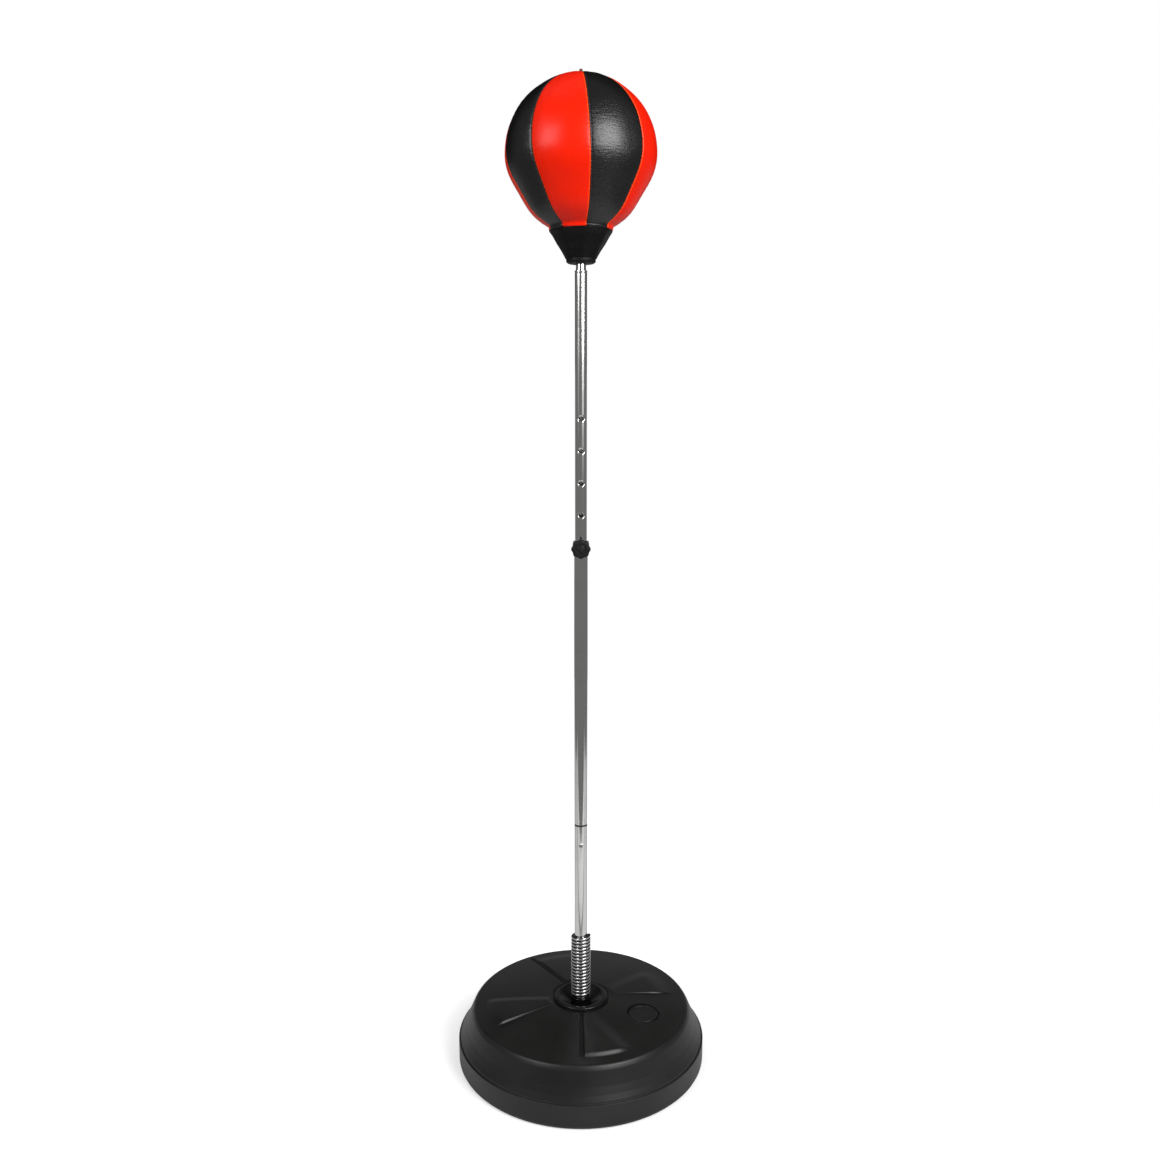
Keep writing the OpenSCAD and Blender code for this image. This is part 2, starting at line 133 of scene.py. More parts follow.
class Graph:
    """The node tree of one material or world."""

    def __init__(self, tree: bpy.types.NodeTree) -> None:
        """Empties the tree."""
        self.tree = tree
        tree.nodes.clear()

    def node(
        self,
        kind: str,
        settings: Mapping[str, object] | None = None,
        inputs: Mapping[object, Value] | None = None,
    ) -> bpy.types.Node:
        """Adds a node.

        Args:
            kind: the node's type name, without ShaderNode in front.
            settings: its own properties, set first.
            inputs: values or sockets by input name or number.

        Returns:
            The new node.
        """
        made = self.tree.nodes.new("ShaderNode" + kind)
        for name, value in (settings or {}).items():
            setattr(made, name, value)
        for name, value in (inputs or {}).items():
            self._feed(made.inputs[name], value)
        return made

    def _feed(self, socket: bpy.types.NodeSocket, value: Value) -> None:
        """Links a socket to the input, or sets its value.

        Args:
            socket: the input.
            value: what it gets.
        """
        if isinstance(value, Socket):
            self.tree.links.new(value.out, socket)
        elif isinstance(value, (tuple, list)) and len(value) == 3 and socket.type == "RGBA":
            socket.default_value = (*value, 1.0)
        else:
            socket.default_value = value

    def get(self, made: bpy.types.Node, output: object = 0) -> Socket:
        """The named or numbered output of a node."""
        return Socket(self, made.outputs[output])

    def math(self, operation: str, *values: Value) -> Socket:
        """A Math node on one or two values."""
        return self.get(self.node("Math", {"operation": operation}, dict(enumerate(values))))

    def step(self, value: Socket, low: float, high: float) -> Socket:
        """Rises smoothly from 0 at low to 1 at high."""
        settings = {"interpolation_type": "SMOOTHSTEP"}
        inputs = {"Value": value, "From Min": low, "From Max": high}
        return self.get(self.node("MapRange", settings, inputs))

    def mix(self, factor: Value, first: Value, second: Value) -> Socket:
        """Mixes two colours."""
        made = self.node("Mix", {"data_type": "RGBA"}, {0: factor, 6: first, 7: second})
        return self.get(made, 2)

    def place(self, scale: Sequence[float] = (1, 1, 1)) -> Socket:
        """Object coordinates, stretched by a scale for each axis."""
        where = self.get(self.node("TexCoord"), "Object")
        return self.get(self.node("Mapping", inputs={"Vector": where, "Scale": scale}))

    def noise(
        self, where: Socket, scale: float, detail: float = 3.0, rough: float = 0.5
    ) -> Socket:
        """A noise value round 0.5."""
        inputs = {"Vector": where, "Scale": scale, "Detail": detail, "Roughness": rough}
        return self.get(self.node("TexNoise", inputs=inputs), "Fac")

    def cells(self, where: Socket, scale: float) -> Socket:
        """Distance from the edges of a field of cells."""
        settings = {"feature": "DISTANCE_TO_EDGE"}
        inputs = {"Vector": where, "Scale": scale}
        return self.get(self.node("TexVoronoi", settings, inputs), "Distance")

    def bump(self, height: Value, depth: float, under: Socket | None = None) -> Socket:
        """A normal from a height of 0 to 1 over a depth in millimetres."""
        inputs: dict[object, Value] = {"Height": height, "Strength": 1.0, "Distance": depth * MM}
        if under is not None:
            inputs["Normal"] = under
        return self.get(self.node("Bump", inputs=inputs))

    def gap(self) -> Socket:
        """How deep in a gap between two pieces a place lies, as stored in the mesh."""
        return self.get(self.node("Attribute", {"attribute_name": "gap"}), "Fac")

    def reach(self, where: Socket) -> Socket:
        """Length of a vector."""
        made = self.node("VectorMath", {"operation": "LENGTH"}, {0: where})
        return self.get(made, "Value")

    def axis(self, where: Socket, name: str) -> Socket:
        """One axis of a vector."""
        return self.get(self.node("SeparateXYZ", inputs={"Vector": where}), name)

    def finish(self, shader: bpy.types.Node, kind: str = "Material") -> None:
        """Sends a shader to the output of a Material or of a World."""
        self.node(f"Output{kind}", inputs={"Surface": self.get(shader)})

    def surface(self, **values: Value) -> None:
        """Ends a material in one shader; names are its inputs, with _ for a space."""
        inputs = {name.replace("_", " "): value for name, value in values.items()}
        self.finish(self.node("BsdfPrincipled", inputs=inputs))


@dataclass(frozen=True)
class Finish:
    """What a surface is made of and how it is treated."""

    name: str
    colour: tuple[float, float, float]
    roughness: float = 0.5

    def shade(self, graph: Graph) -> None:
        """Builds the nodes of this finish.

        Args:
            graph: the node tree of its material.
        """
        raise NotImplementedError


@functools.cache
def material_of(finish: Finish) -> bpy.types.Material:
    """The material of a finish, made once."""
    made = bpy.data.materials.new(finish.name)
    made.use_nodes = True
    finish.shade(Graph(made.node_tree))
    return made


@dataclass(frozen=True)
class MouldedPlastic(Finish):
    """Moulded plastic with a fine satin grain, soft sink marks and faint scuffs.

    Within its given radius of the pole it is glossier and darkened by painted shade.
    """

    grain: float = 0.05
    scuff: float = 0.3
    gloss_and_shade_r: float = 0.0
    shine: float = 0.5

    def shade(self, graph: Graph) -> None:
        """Builds the nodes of this finish."""
        where = graph.place()
        cloud = graph.noise(where, 9.0, 2.0)
        grain = graph.noise(where, 900.0, 2.0)
        orange_peel = graph.noise(where, 160.0, 2.0)
        scratch = graph.noise(graph.place((1, 7, 1)), 60.0, 5.0, 0.7)
        scuffs = graph.step(scratch, 0.62, 0.75) * graph.step(cloud, 0.45, 0.6) * self.scuff
        pale = tuple(min(1.0, c * 1.7 + 0.01) for c in self.colour)
        colour = graph.mix(graph.step(cloud, 0.3, 0.75) * 0.35 + scuffs, self.colour, pale)
        rough = self.roughness + (cloud - 0.5) * 0.12 + scuffs * 0.15
        if self.gloss_and_shade_r:
            reach = graph.reach(graph.place((1, 1, 0)))
            rim = graph.step(reach, (self.gloss_and_shade_r - 2) * MM, (self.gloss_and_shade_r + 1) * MM)
            rough = rough * (0.75 + rim * 0.25)
            # painted shade: the colour is darker inside the dish round the pole
            colour = graph.mix((1.0 - rim) * 0.1, colour, (0.0, 0.0, 0.0))
        fine = graph.bump(grain, self.grain)
        graph.surface(
            Base_Color=colour, Roughness=rough, Specular_IOR_Level=self.shine,
            Normal=graph.bump(orange_peel, self.grain * 2.0, fine),
        )


@dataclass(frozen=True)
class PolishedSteel(Finish):
    """Chrome plate with draw lines along Z, dull smudges and painted shade in its joints."""

    lines: float = 0.002

    def shade(self, graph: Graph) -> None:
        """Builds the nodes of this finish."""
        where = graph.place()
        smudge = graph.step(graph.noise(where, 22.0, 3.0), 0.45, 0.7)
        drawn = graph.noise(graph.place((700, 700, 5)), 1.0, 3.0)
        wave = graph.noise(graph.place((60, 60, 22)), 1.0, 2.0)
        dull = tuple(c * 0.88 for c in self.colour)
        gap = graph.gap()
        plate = graph.mix(smudge * 0.6, self.colour, dull)
        # painted shade: darker and duller where the mesh's gap attribute marks a joint
        graph.surface(
            Base_Color=graph.mix(gap * 0.92, plate, (0.02, 0.02, 0.02)), Metallic=1.0,
            Roughness=self.roughness + smudge * 0.06 + (drawn - 0.5) * 0.03 + gap * 0.3,
            Normal=graph.bump(wave, self.lines * 20.0, graph.bump(drawn, self.lines)),
        )


@dataclass(frozen=True)
class PlatedWire(Finish):
    """Chrome-plated wire, dull and darkened by painted shade where its turns nearly touch."""

    shade_at_gap: float = 0.9

    def shade(self, graph: Graph) -> None:
        """Builds the nodes of this finish."""
        gap = graph.gap()
        smudge = graph.step(graph.noise(graph.place(), 90.0, 3.0), 0.45, 0.75)
        dark = tuple(c * 0.06 for c in self.colour)
        # painted shade where the turns nearly touch, from the mesh's gap attribute
        graph.surface(
            Base_Color=graph.mix(gap * self.shade_at_gap, self.colour, dark), Metallic=1.0,
            Roughness=self.roughness + smudge * 0.05 + gap * 0.3,
        )


@dataclass(frozen=True)
class ZincPlate(Finish):
    """Zinc-plated hardware with a fine speckle."""

    def shade(self, graph: Graph) -> None:
        """Builds the nodes of this finish."""
        where = graph.place()
        speckle = graph.noise(where, 700.0, 3.0)
        cloud = graph.noise(where, 60.0, 2.0)
        dull = tuple(c * 0.72 for c in self.colour)
        graph.surface(
            Base_Color=graph.mix(cloud, self.colour, dull), Metallic=1.0,
            Roughness=self.roughness + (speckle - 0.5) * 0.2, Normal=graph.bump(speckle, 0.02),
        )


@dataclass(frozen=True)
class Rubber(Finish):
    """Matt rubber or latex with a powdery bloom."""

    def shade(self, graph: Graph) -> None:
        """Builds the nodes of this finish."""
        where = graph.place()
        bloom = graph.step(graph.noise(where, 40.0, 4.0), 0.4, 0.7)
        pale = tuple(min(1.0, c * 1.5 + 0.015) for c in self.colour)
        graph.surface(
            Base_Color=graph.mix(bloom * 0.5, self.colour, pale),
            Roughness=self.roughness + bloom * 0.1,
            Normal=graph.bump(graph.noise(where, 800.0, 2.0), 0.03),
        )


@dataclass(frozen=True)
class Hide(Finish):
    """Glossy leather with a pebbled grain, stretched creases and a light coat.

    A sewn hide also puckers at each stitch, has a painted highlight along its edges, broken
    into dashes at the stitches where dashes are set, and painted shade in the seam itself. All
    are read from the map of its cut: the distance from the seam and along it, in tenths of a
    metre.
    """

    deep: tuple[float, float, float] = (0.0, 0.0, 0.0)
    edge: tuple[float, float, float] = (0.0, 0.0, 0.0)
    shine: float = 0.5
    coat: float = 0.35
    coat_roughness: float = 0.24
    crease: float = 0.25
    sewn: bool = False
    dashes: float = 0.0
    stitch: float = 5.2

    def shade(self, graph: Graph) -> None:
        """Builds the nodes of this finish."""
        where = graph.place()
        warp = graph.noise(where, 55.0, 3.0)
        pebbles = graph.cells(where, 620.0)
        pores = graph.noise(where, 1500.0, 2.0)
        creases = graph.noise(graph.place((1.0, 1.0, 4.6)), 85.0, 5.0, 0.6)
        cloud = graph.noise(where, 14.0, 3.0)
        valleys = 1.0 - graph.step(pebbles, 0.0, 0.16)
        dim = graph.step(cloud, 0.35, 0.7) * 0.25 + valleys * 0.2
        under = graph.bump(graph.step(pebbles, 0.0, 0.3) + pores * 0.3, 0.04)
        under = graph.bump(creases + warp * 0.5, self.crease, under)
        colour = graph.mix(dim, self.colour, self.deep)
        if self.sewn:
            cut = graph.get(graph.node("UVMap", {"uv_map": "cut"}))
            away, along = (graph.axis(cut, name) * 100.0 for name in "XY")
            pulse = graph.math("SINE", along * (math.tau / self.stitch)) * 0.5 + 0.5
            pull = pulse * (1.0 - graph.step(away, 0.6, 3.2))
            dash = 1.0 - self.dashes + graph.step(pulse, 0.35, 0.6) * self.dashes
            # painted highlight along the seam edge, in dashes at the stitches where dashes are
            # set
            edge_sheen = graph.step(away, 0.4, 0.8) * (1.0 - graph.step(away, 1.4, 2.0)) * dash
            colour = graph.mix(edge_sheen * 0.8, colour, self.edge)
            # painted shade right along the seam
            colour = graph.mix((1.0 - graph.step(away, 0.0, 0.6)) * 0.8, colour, self.deep)
            under = graph.bump(pull, 0.22, under)
        graph.surface(
            Base_Color=colour, Specular_IOR_Level=self.shine, Normal=under,
            Roughness=self.roughness + valleys * 0.1 + (cloud - 0.5) * 0.1,
            Coat_Weight=self.coat, Coat_Roughness=self.coat_roughness,
        )


@dataclass(frozen=True)
class StageCloth(Finish):
    """Dull cloth of a black card."""

    def shade(self, graph: Graph) -> None:
        """Builds the nodes of this finish."""
        graph.finish(graph.node("BsdfDiffuse", inputs={"Color": self.colour}))


@dataclass(frozen=True)
class StagePaint(Finish):
    """Pale floor paint that glows to white for the camera and away from the object."""

    dim: float = 0.5
    fade_from: float = 0.2
    fade_to: float = 0.6
    strip: tuple[float, ...] = (-0.51, -0.47, -0.43, -0.39)
    strip_shade: float = 0.7

    def shade(self, graph: Graph) -> None:
        """Builds the nodes, with a strip of painted shade that only reflections see."""
        ray = graph.node("LightPath")
        fade = graph.step(graph.reach(graph.place()), self.fade_from, self.fade_to)
        glow = graph.get(ray, "Is Camera Ray") * (self.dim + fade * (1.0 - self.dim))
        depth = graph.axis(graph.place(), "Y")
        strip = graph.step(depth, *self.strip[:2]) * (1.0 - graph.step(depth, *self.strip[2:]))
        # painted shade on the floor in a strip, seen only in reflections
        shaded = graph.get(ray, "Is Glossy Ray") * strip * self.strip_shade
        colour = graph.mix(shaded, self.colour, (0.0, 0.0, 0.0))
        paint = graph.node("BsdfDiffuse", inputs={"Color": colour})
        light = graph.node("Emission", inputs={"Color": (1, 1, 1, 1), "Strength": glow})
        both = {0: graph.get(paint), 1: graph.get(light)}
        graph.finish(graph.node("AddShader", inputs=both))


class Finishes:
    """The finishes that the object and its studio use."""

    # the base is glossier within 46 mm of the pole and darkened there by painted shade
    base = MouldedPlastic(
        "base_moulding", (0.008, 0.0082, 0.0077), 0.38, 0.03, 0.25, gloss_and_shade_r=46.0, shine=0.45
    )
    cap = MouldedPlastic("cap_moulding", (0.0068, 0.0068, 0.0066), 0.34, 0.02, 0.1)
    knob = MouldedPlastic("knob_moulding", (0.004, 0.004, 0.004), 0.5, 0.03, 0.15, shine=0.3)
    boss = MouldedPlastic("boss_moulding", (0.002, 0.002, 0.002), 0.16, 0.01, 0.1)
    disc = MouldedPlastic("disc_moulding", (0.003, 0.003, 0.003), 0.5, 0.01, 0.1, shine=0.14)
    chrome = PolishedSteel("chrome_tube", (0.8, 0.8, 0.79), 0.09)
    coil = PlatedWire("chrome_wire", (0.82, 0.82, 0.83), 0.06)
    sliding = PolishedSteel("sliding_tube", (0.78, 0.78, 0.77), 0.11, 0.0001)
    zinc = ZincPlate("zinc_hardware", (0.55, 0.56, 0.57), 0.3)
    seal = Rubber("seal_rubber", (0.02, 0.02, 0.02), 0.6)
    latex = Rubber("bladder_latex", (0.42, 0.18, 0.1), 0.45)
    # a hide's last colour is the painted highlight along its seams; its deep colour also paints
    # the shade in them
    red = Hide(
        "red_hide", (0.88, 0.014, 0.0), 0.31, (0.66, 0.005, 0.0), (1.0, 0.1, 0.01),
        shine=0.17, coat=0.06, crease=0.14, sewn=True,
    )
    black = Hide(
        "black_hide", (0.0008,) * 3, 0.32, (0.0006,) * 3, (0.035,) * 3,
        shine=0.62, coat=0.1, crease=0.62, sewn=True, dashes=0.9,
    )
    plain_black = Hide(
        "plain_black_hide", (0.0022, 0.0019, 0.0018), 0.45, (0.001,) * 3,
        shine=0.16, coat=0.08, crease=0.25,
    )
    tab = Hide(
        "tab_hide", (0.09, 0.04, 0.022), 0.45, (0.05, 0.022, 0.012),
        shine=0.3, coat=0.1, crease=0.2,
    )
    card = StageCloth("flag_cloth", (0.02, 0.02, 0.02))
    floor = StagePaint("floor_paint", (0.8, 0.8, 0.8))


# ---------------------------------------------------------------- mesh helpers


def box_mm(node: str) -> tuple[Vector, Vector]:
    """Lowest and highest corner of a CAD node in millimetres."""
    low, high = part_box(node)
    return Vector(low) / MM, Vector(high) / MM


def mid_height(node: str) -> float:
    """Middle height of a CAD node in millimetres."""
    low, high = box_mm(node)
    return (low.z + high.z) / 2


def smooth(value: float, low: float, high: float) -> float:
    """Rises smoothly from 0 at low to 1 at high."""
    t = min(1.0, max(0.0, (value - low) / (high - low)))
    return t * t * (3.0 - 2.0 * t)


def fillet(*corners: Corner, closed: bool = False, steps: int = 5) -> list[Point]:
    """Rounds the corners of an outline.

    Args:
        corners: radius, height and corner radius of each point, in millimetres.
        closed: whether the last point joins the first.
        steps: segments in each rounded corner.

    Returns:
        The points of the rounded outline.
    """
    made: list[Point] = []
    for spot, (x, z, radius) in enumerate(corners):
        end = spot in (0, len(corners) - 1) and not closed
        if radius <= 0 or end:
            made.append((x, z))
            continue
        here = Vector((x, z))
        before = Vector(corners[spot - 1][:2]) - here
        after = Vector(corners[(spot + 1) % len(corners)][:2]) - here
        half = before.angle(after) / 2.0
        reach = min(radius / math.tan(half), 0.48 * before.length, 0.48 * after.length)
        before.normalize()
        after.normalize()
        centre = here + (before + after).normalized() * reach / math.cos(half)
        start = here + before * reach - centre
        turn = start.angle_signed(here + after * reach - centre)
        for step in range(steps + 1):
            arm = Matrix.Rotation(-turn * step / steps, 2) @ start
            made.append((centre.x + arm.x, centre.y + arm.y))
    return made


def between(start: Point, end: Point, share: float) -> Point:
    """A point on the way from one to another."""
    return (start[0] + (end[0] - start[0]) * share, start[1] + (end[1] - start[1]) * share)


def bearing(vert: bmesh.types.BMVert) -> float:
    """Direction of a vertex from the pole, in radians."""
    return math.atan2(vert.co.y, vert.co.x)


def densify(outline: Sequence[Point], longest: float) -> list[Point]:
    """Adds points so that no stretch of an outline is longer than a length.

    Args:
        outline: its points, in millimetres.
        longest: the longest stretch allowed.

    Returns:
        The points with the added ones.
    """
    made = [outline[0]]
    for start, end in zip(outline, outline[1:]):
        parts = max(1, math.ceil(math.dist(start, end) / longest))
        made += [between(start, end, part / parts) for part in range(1, parts + 1)]
    return made


def hold_ends(outline: Sequence[Point], closed: bool, near: float = 0.4) -> list[Point]:
    """Adds a point close to each end of a long stretch, which keeps it straight when shaded.

    Args:
        outline: its points, in millimetres.
        closed: whether the last point joins the first.
        near: distance of the added points from the ends.

    Returns:
        The points with the added ones.
    """
    made: list[Point] = []
    follow = list(outline[1:]) + [outline[0]]
    for spot, (start, end) in enumerate(zip(outline, follow)):
        made.append(start)
        length = math.dist(start, end)
        if length > 5.0 and (closed or spot < len(outline) - 1):
            made += [between(start, end, share) for share in (near / length, 1.0 - near / length)]
    return made


def outward(mesh: Mesh) -> Mesh:
    """Turns the faces of a mesh outwards."""
    bmesh.ops.recalc_face_normals(mesh, faces=mesh.faces[:])
    return mesh


def lathe(outline: Sequence[Point], steps: int = 96, closed: bool = False) -> Mesh:
    """Spins an outline about Z.

    Args:
        outline: radius and height of each point, in millimetres.
        steps: segments in the full turn.
        closed: whether the outline's last point joins its first.

    Returns:
        A closed mesh whose faces point outwards.
    """
    made = bmesh.new()
    verts = [made.verts.new((x * MM, 0.0, z * MM)) for x, z in hold_ends(outline, closed)]
    pairs = list(zip(verts, verts[1:])) + ([(verts[-1], verts[0])] if closed else [])
    edges = [made.edges.new(pair) for pair in pairs]
    bmesh.ops.spin(
        made, geom=verts + edges, cent=(0, 0, 0), axis=(0, 0, 1), dvec=(0, 0, 0),
        angle=math.tau, steps=steps, use_merge=True,
    )
    bmesh.ops.remove_doubles(made, verts=made.verts[:], dist=1e-7)
    return outward(made)


def turned(*corners: Corner, steps: int = 96, closed: bool = False) -> Mesh:
    """Rounds an outline's corners and spins it about Z."""
    return lathe(fillet(*corners, closed=closed), steps, closed)


def join(*parts: Mesh) -> Mesh:
    """Moves the faces of several meshes into one.

    Args:
        parts: the meshes, of which all but the first are freed.

    Returns:
        The first mesh.
    """
    first = parts[0]
    for part in parts[1:]:
        holder = bpy.data.meshes.new("joined")
        part.to_mesh(holder)
        part.free()
        first.from_mesh(holder)
        bpy.data.meshes.remove(holder)
    return first


def shift(mesh: Mesh, x: float, y: float) -> Mesh:
    """Moves a mesh sideways by millimetres."""
    bmesh.ops.translate(mesh, vec=(x * MM, y * MM, 0), verts=mesh.verts[:])
    return mesh


def to_front(mesh: Mesh, height: float, distance: float) -> Mesh:
    """Turns a mesh's +Z to the front and puts it on the pole at a height and distance."""
    place = Matrix.Translation((0, -distance * MM, height * MM))
    turn = Matrix.Rotation(math.pi / 2, 4, "X")
    bmesh.ops.transform(mesh, matrix=place @ turn, verts=mesh.verts[:])
    return mesh


def front_drill(height: float, radius: float) -> Mesh:
    """A cutter that drills through the front of a tube.

    Args:
        height: height of the hole.
        radius: its radius.

    Returns:
        The cutter's mesh.
    """
    near, far = 3.0, 22.0
    return to_front(lathe([(0, near), (radius, near), (radius, far), (0, far)], 48), height, 0)


def finish_mesh(name: str, mesh: Mesh, finish: Finish, sharp: float = 40.0) -> Object:
    """Makes an object of a mesh.

    Args:
        name: the object's name.
        mesh: its faces, which are freed here.
        finish: its finish.
        sharp: edges that turn by more than this many degrees stay crisp.

    Returns:
        The object, at the origin.
    """
    data = bpy.data.meshes.new(name)
    mesh.to_mesh(data)
    mesh.free()
    data.shade_smooth()
    data.set_sharp_from_angle(angle=math.radians(sharp))
    data.materials.append(material_of(finish))
    made = bpy.data.objects.new(name, data)
    bpy.context.scene.collection.objects.link(made)
    return made


def add_piece(
    name: str,
    mesh: Mesh,
    finish: Finish,
    body: Body | None,
    replaces: Iterable[str] = (),
    sharp: float = 40.0,
) -> Object:
    """Makes a piece that rides on a body.

    Args:
        name: the piece's name.
        mesh: its faces.
        finish: its finish.
        body: what it rides on, or None to leave it unattached.
        replaces: the CAD nodes that it stands for.
        sharp: edges that turn by more than this many degrees stay crisp.

    Returns:
        The piece.
    """
    made = finish_mesh(name, mesh, finish, sharp)
    if body is not None:
        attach(made, body.value)
    if replaces:
        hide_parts(*replaces)
    LOG.info("made %s with %d faces", name, len(made.data.polygons))
    return made


def subtract(target: Object, cutter: Mesh) -> None:
    """Cuts a closed mesh out of an object's mesh.

    Args:
        target: the object that is cut.
        cutter: the mesh that is taken away, which is freed here.
    """
    tool = finish_mesh("cutter", cutter, Finishes.base)
    cut = target.modifiers.new("cut", "BOOLEAN")
    cut.object = tool
    cut.operation = "DIFFERENCE"
    cut.solver = "EXACT"
    bpy.context.view_layer.update()
    graph = bpy.context.evaluated_depsgraph_get()
    result = bpy.data.meshes.new_from_object(target.evaluated_get(graph))
    target.modifiers.remove(cut)
    target.data = result
    target.data.set_sharp_from_angle(angle=math.radians(40.0))
    bpy.data.objects.remove(tool)


def drill_for_screw(target: Object) -> None:
    """Drills the lock screw's hole through the front of a piece."""
    subtract(target, front_drill(mid_height("collar_nut"), SCREW_HOLE_R))


# ---------------------------------------------------------------- the base


@dataclass(frozen=True)
class Vane:
    """A wedge raised on the base's top, from one direction to another."""

    start_deg: float
    end_deg: float
    start_flank: float
    end_flank: float
    nose: float = 7.6
    share: float = 1.0
    inner_r: float = 57.0
    outer_r: float = 165.5

    def rise_at(self, radius: float, degrees: float) -> float:
        """How far up its slopes a place lies, from 0 outside to 1 on the vane.

        Args:
            radius: distance from the pole.
            degrees: direction from the pole.

        Returns:
            The share of the vane's height.
        """
        away = (degrees - self.start_deg + 180.0) % 360.0 - 180.0
        start = math.radians(away) * radius
        end = math.radians(self.end_deg - self.start_deg - away) * radius
        side = smooth(start, 0.0, self.start_flank) * smooth(end, 0.0, self.end_flank)
        front = smooth(self.outer_r - radius, 0.0, self.nose)
        root = smooth(radius, self.inner_r - 4.0, self.inner_r)
        climb = 0.5 + 0.5 * smooth(radius, self.inner_r, self.outer_r)
        return side * front * root * climb * self.share


@dataclass(frozen=True)
class Crease:
    """A soft groove in the base's top, beside a vane."""

    degrees: float
    inner_r: float
    outer_r: float
    depth: float = 2.4
    half_width: float = 2.6

    def sink_at(self, radius: float, degrees: float) -> float:
        """Depth of the groove at a place, in millimetres.

        Args:
            radius: distance from the pole.
            degrees: direction from the pole.

        Returns:
            How far the top is sunk there.
        """
        away = math.radians((degrees - self.degrees + 180.0) % 360.0 - 180.0) * radius
        if abs(away) > 4 * self.half_width:
            return 0.0
        ends = smooth(radius, self.inner_r - 3.0, self.inner_r)
        ends *= 1.0 - smooth(radius, self.outer_r, self.outer_r + 5.0)
        return self.depth * ends * math.exp(-((away / self.half_width) ** 2))


@dataclass
class FillableBase:
    """Moulded tank with its domed top, raised vanes, raised ring and dished socket."""

    band_h: float = 42.0
    ring_r: float = 45.0
    top_drop: float = 10.6
    rim_in: float = 34.0
    vane_rise: float = 5.2
    moat: float = 3.0
    moat_w: float = 7.0
    foot_round: float = 12.0
    wall: float = 4.0
    top_wall: float = 6.4
    bore_r: float = 16.3
    bolt_r: float = 6.5
    socket_drop: float = 12.3
    seat_r: float = 27.0
    hole_r: float = 17.3
    reach: float = 20.0
    ring_rise: float = 3.2
    steps: int = 432
    fine_deg: float = 0.1
    crowd_deg: float = 2.6
    crowd: float = 6.0

    def __post_init__(self) -> None:
        """Reads the base's size from the frame."""
        high = box_mm("base_shell")[1]
        self.radius = high.x
        self.height = high.z - self.ring_rise
        self.rim_r = self.radius - self.rim_in
        self.vanes = (
            Vane(-88.7, -58.0, 4.0, 30.0), Vane(7.5, 42.0, 3.2, 26.0, 36.0, 0.55),
            Vane(88.5, 121.5, 24.0, 4.0, 24.0, 0.5), Vane(177.6, 210.0, 18.0, 4.5, 20.0, 0.75),
        )
        self.creases = (Crease(-89.4, 50.0, 160.0), Crease(122.2, 50.0, 166.0, 2.6, 2.6))

    def top_at(self, radius: float) -> float:
        """Height of the domed top at a radius."""
        return self.height - self.top_drop * (radius / self.rim_r) ** 2

    def outline(self) -> list[Point]:
        """Outside of the tank, from the bore under the ring round to the top."""
        r, top, bore, edge = self.radius, self.height, self.bore_r, self.top_at(self.rim_r)
        band, rise = self.band_h, self.height - self.band_h
        slope = ((0.24, 0.18, 14), (0.41, 0.36, 20), (0.56, 0.55, 20), (0.68, 0.71, 16))
        under = fillet(
            (bore, top - self.socket_drop, 0), (bore, 24, 0), (self.bolt_r, 24, 0),
            (self.bolt_r, 16, 0), (17, 16, 0.5), (17, 6, 1.5), (r - 20, 6, 1.5),
            (r - 16, 0, 1.5), (r, 0, self.foot_round), (r, band - 0.4, 1.0),
            (r - 3.0, band + 0.6, 0.8), (r - 3.4, band + 3, 1.5),
            *((r - a * self.rim_in, band + b * rise, c) for a, b, c in slope),
            (r - 0.81 * self.rim_in, edge - 0.4, 12), (self.rim_r, edge, 0),
        )
        radii = [self.rim_r, 173.0, 170.0, 168.0, 166.4]
        radii += [165.4 - 0.75 * step for step in range(10)]
        radii += [156.5 - 4.5 * step for step in range(21)]
        radii += [62.5, 59.5, 57.8] + [56.6 - 1.2 * step for step in range(9)] + [46.0]
        dome = [(x, self.top_at(x)) for x in radii]
        ring_r, lip = self.ring_r, top + self.ring_rise
        ring = fillet(
            (ring_r, self.top_at(ring_r) - self.moat, 0), (ring_r - 0.3, top + 2.0, 1.8),
            (ring_r - 3.0, lip, 2.0), (ring_r - 8.6, lip, 1.8),
            (ring_r - 9.6, top - 0.3, 0.8), (bore + 1.2, top - self.socket_drop + 1.0, 0.6),
            (bore, top - self.socket_drop, 0),
        )
        return under[:-1] + dome + ring[:-1]

    def hollow(self) -> list[Point]:
        """Inside of the tank."""
        r, band, under = self.radius - self.wall, self.band_h, self.top_wall
        return [
            (21, 10), (r, 10), (r, band - self.wall), (r - 4, band + 2), (r - 15, 64),
            (r - 24, 84), (self.rim_r - 3, self.top_at(self.rim_r) - under),
            (110, self.top_at(110) - under), (self.ring_r - 8, self.height - under),
            (21, self.height - 18),
        ]

    def crowd_steps(self, mesh: Mesh) -> None:
        """Turns the rings' vertices so that most of them lie at the sides of the vanes.

        Args:
            mesh: the shell of the base.
        """
        sides = [side for vane in self.vanes for side in (vane.start_deg, vane.end_deg)]
        places = round(360.0 / self.fine_deg)
        total, table = 0.0, [0.0]
        for spot in range(places):
            degrees = spot * self.fine_deg
            near = min(abs((degrees - side + 180.0) % 360.0 - 180.0) for side in sides)
            total += 1.0 if near > self.crowd_deg else self.crowd
            table.append(total)
        for vert in mesh.verts:
            share = math.degrees(bearing(vert)) % 360.0 / 360.0 * total
            low = max(0, min(places - 1, bisect.bisect_right(table, share) - 1))
            part = (share - table[low]) / (table[low + 1] - table[low])
            degrees = (low + part) * self.fine_deg
            reach = vert.co.xy.length
            turn = math.radians(degrees)
            vert.co.xy = (reach * math.cos(turn), reach * math.sin(turn))

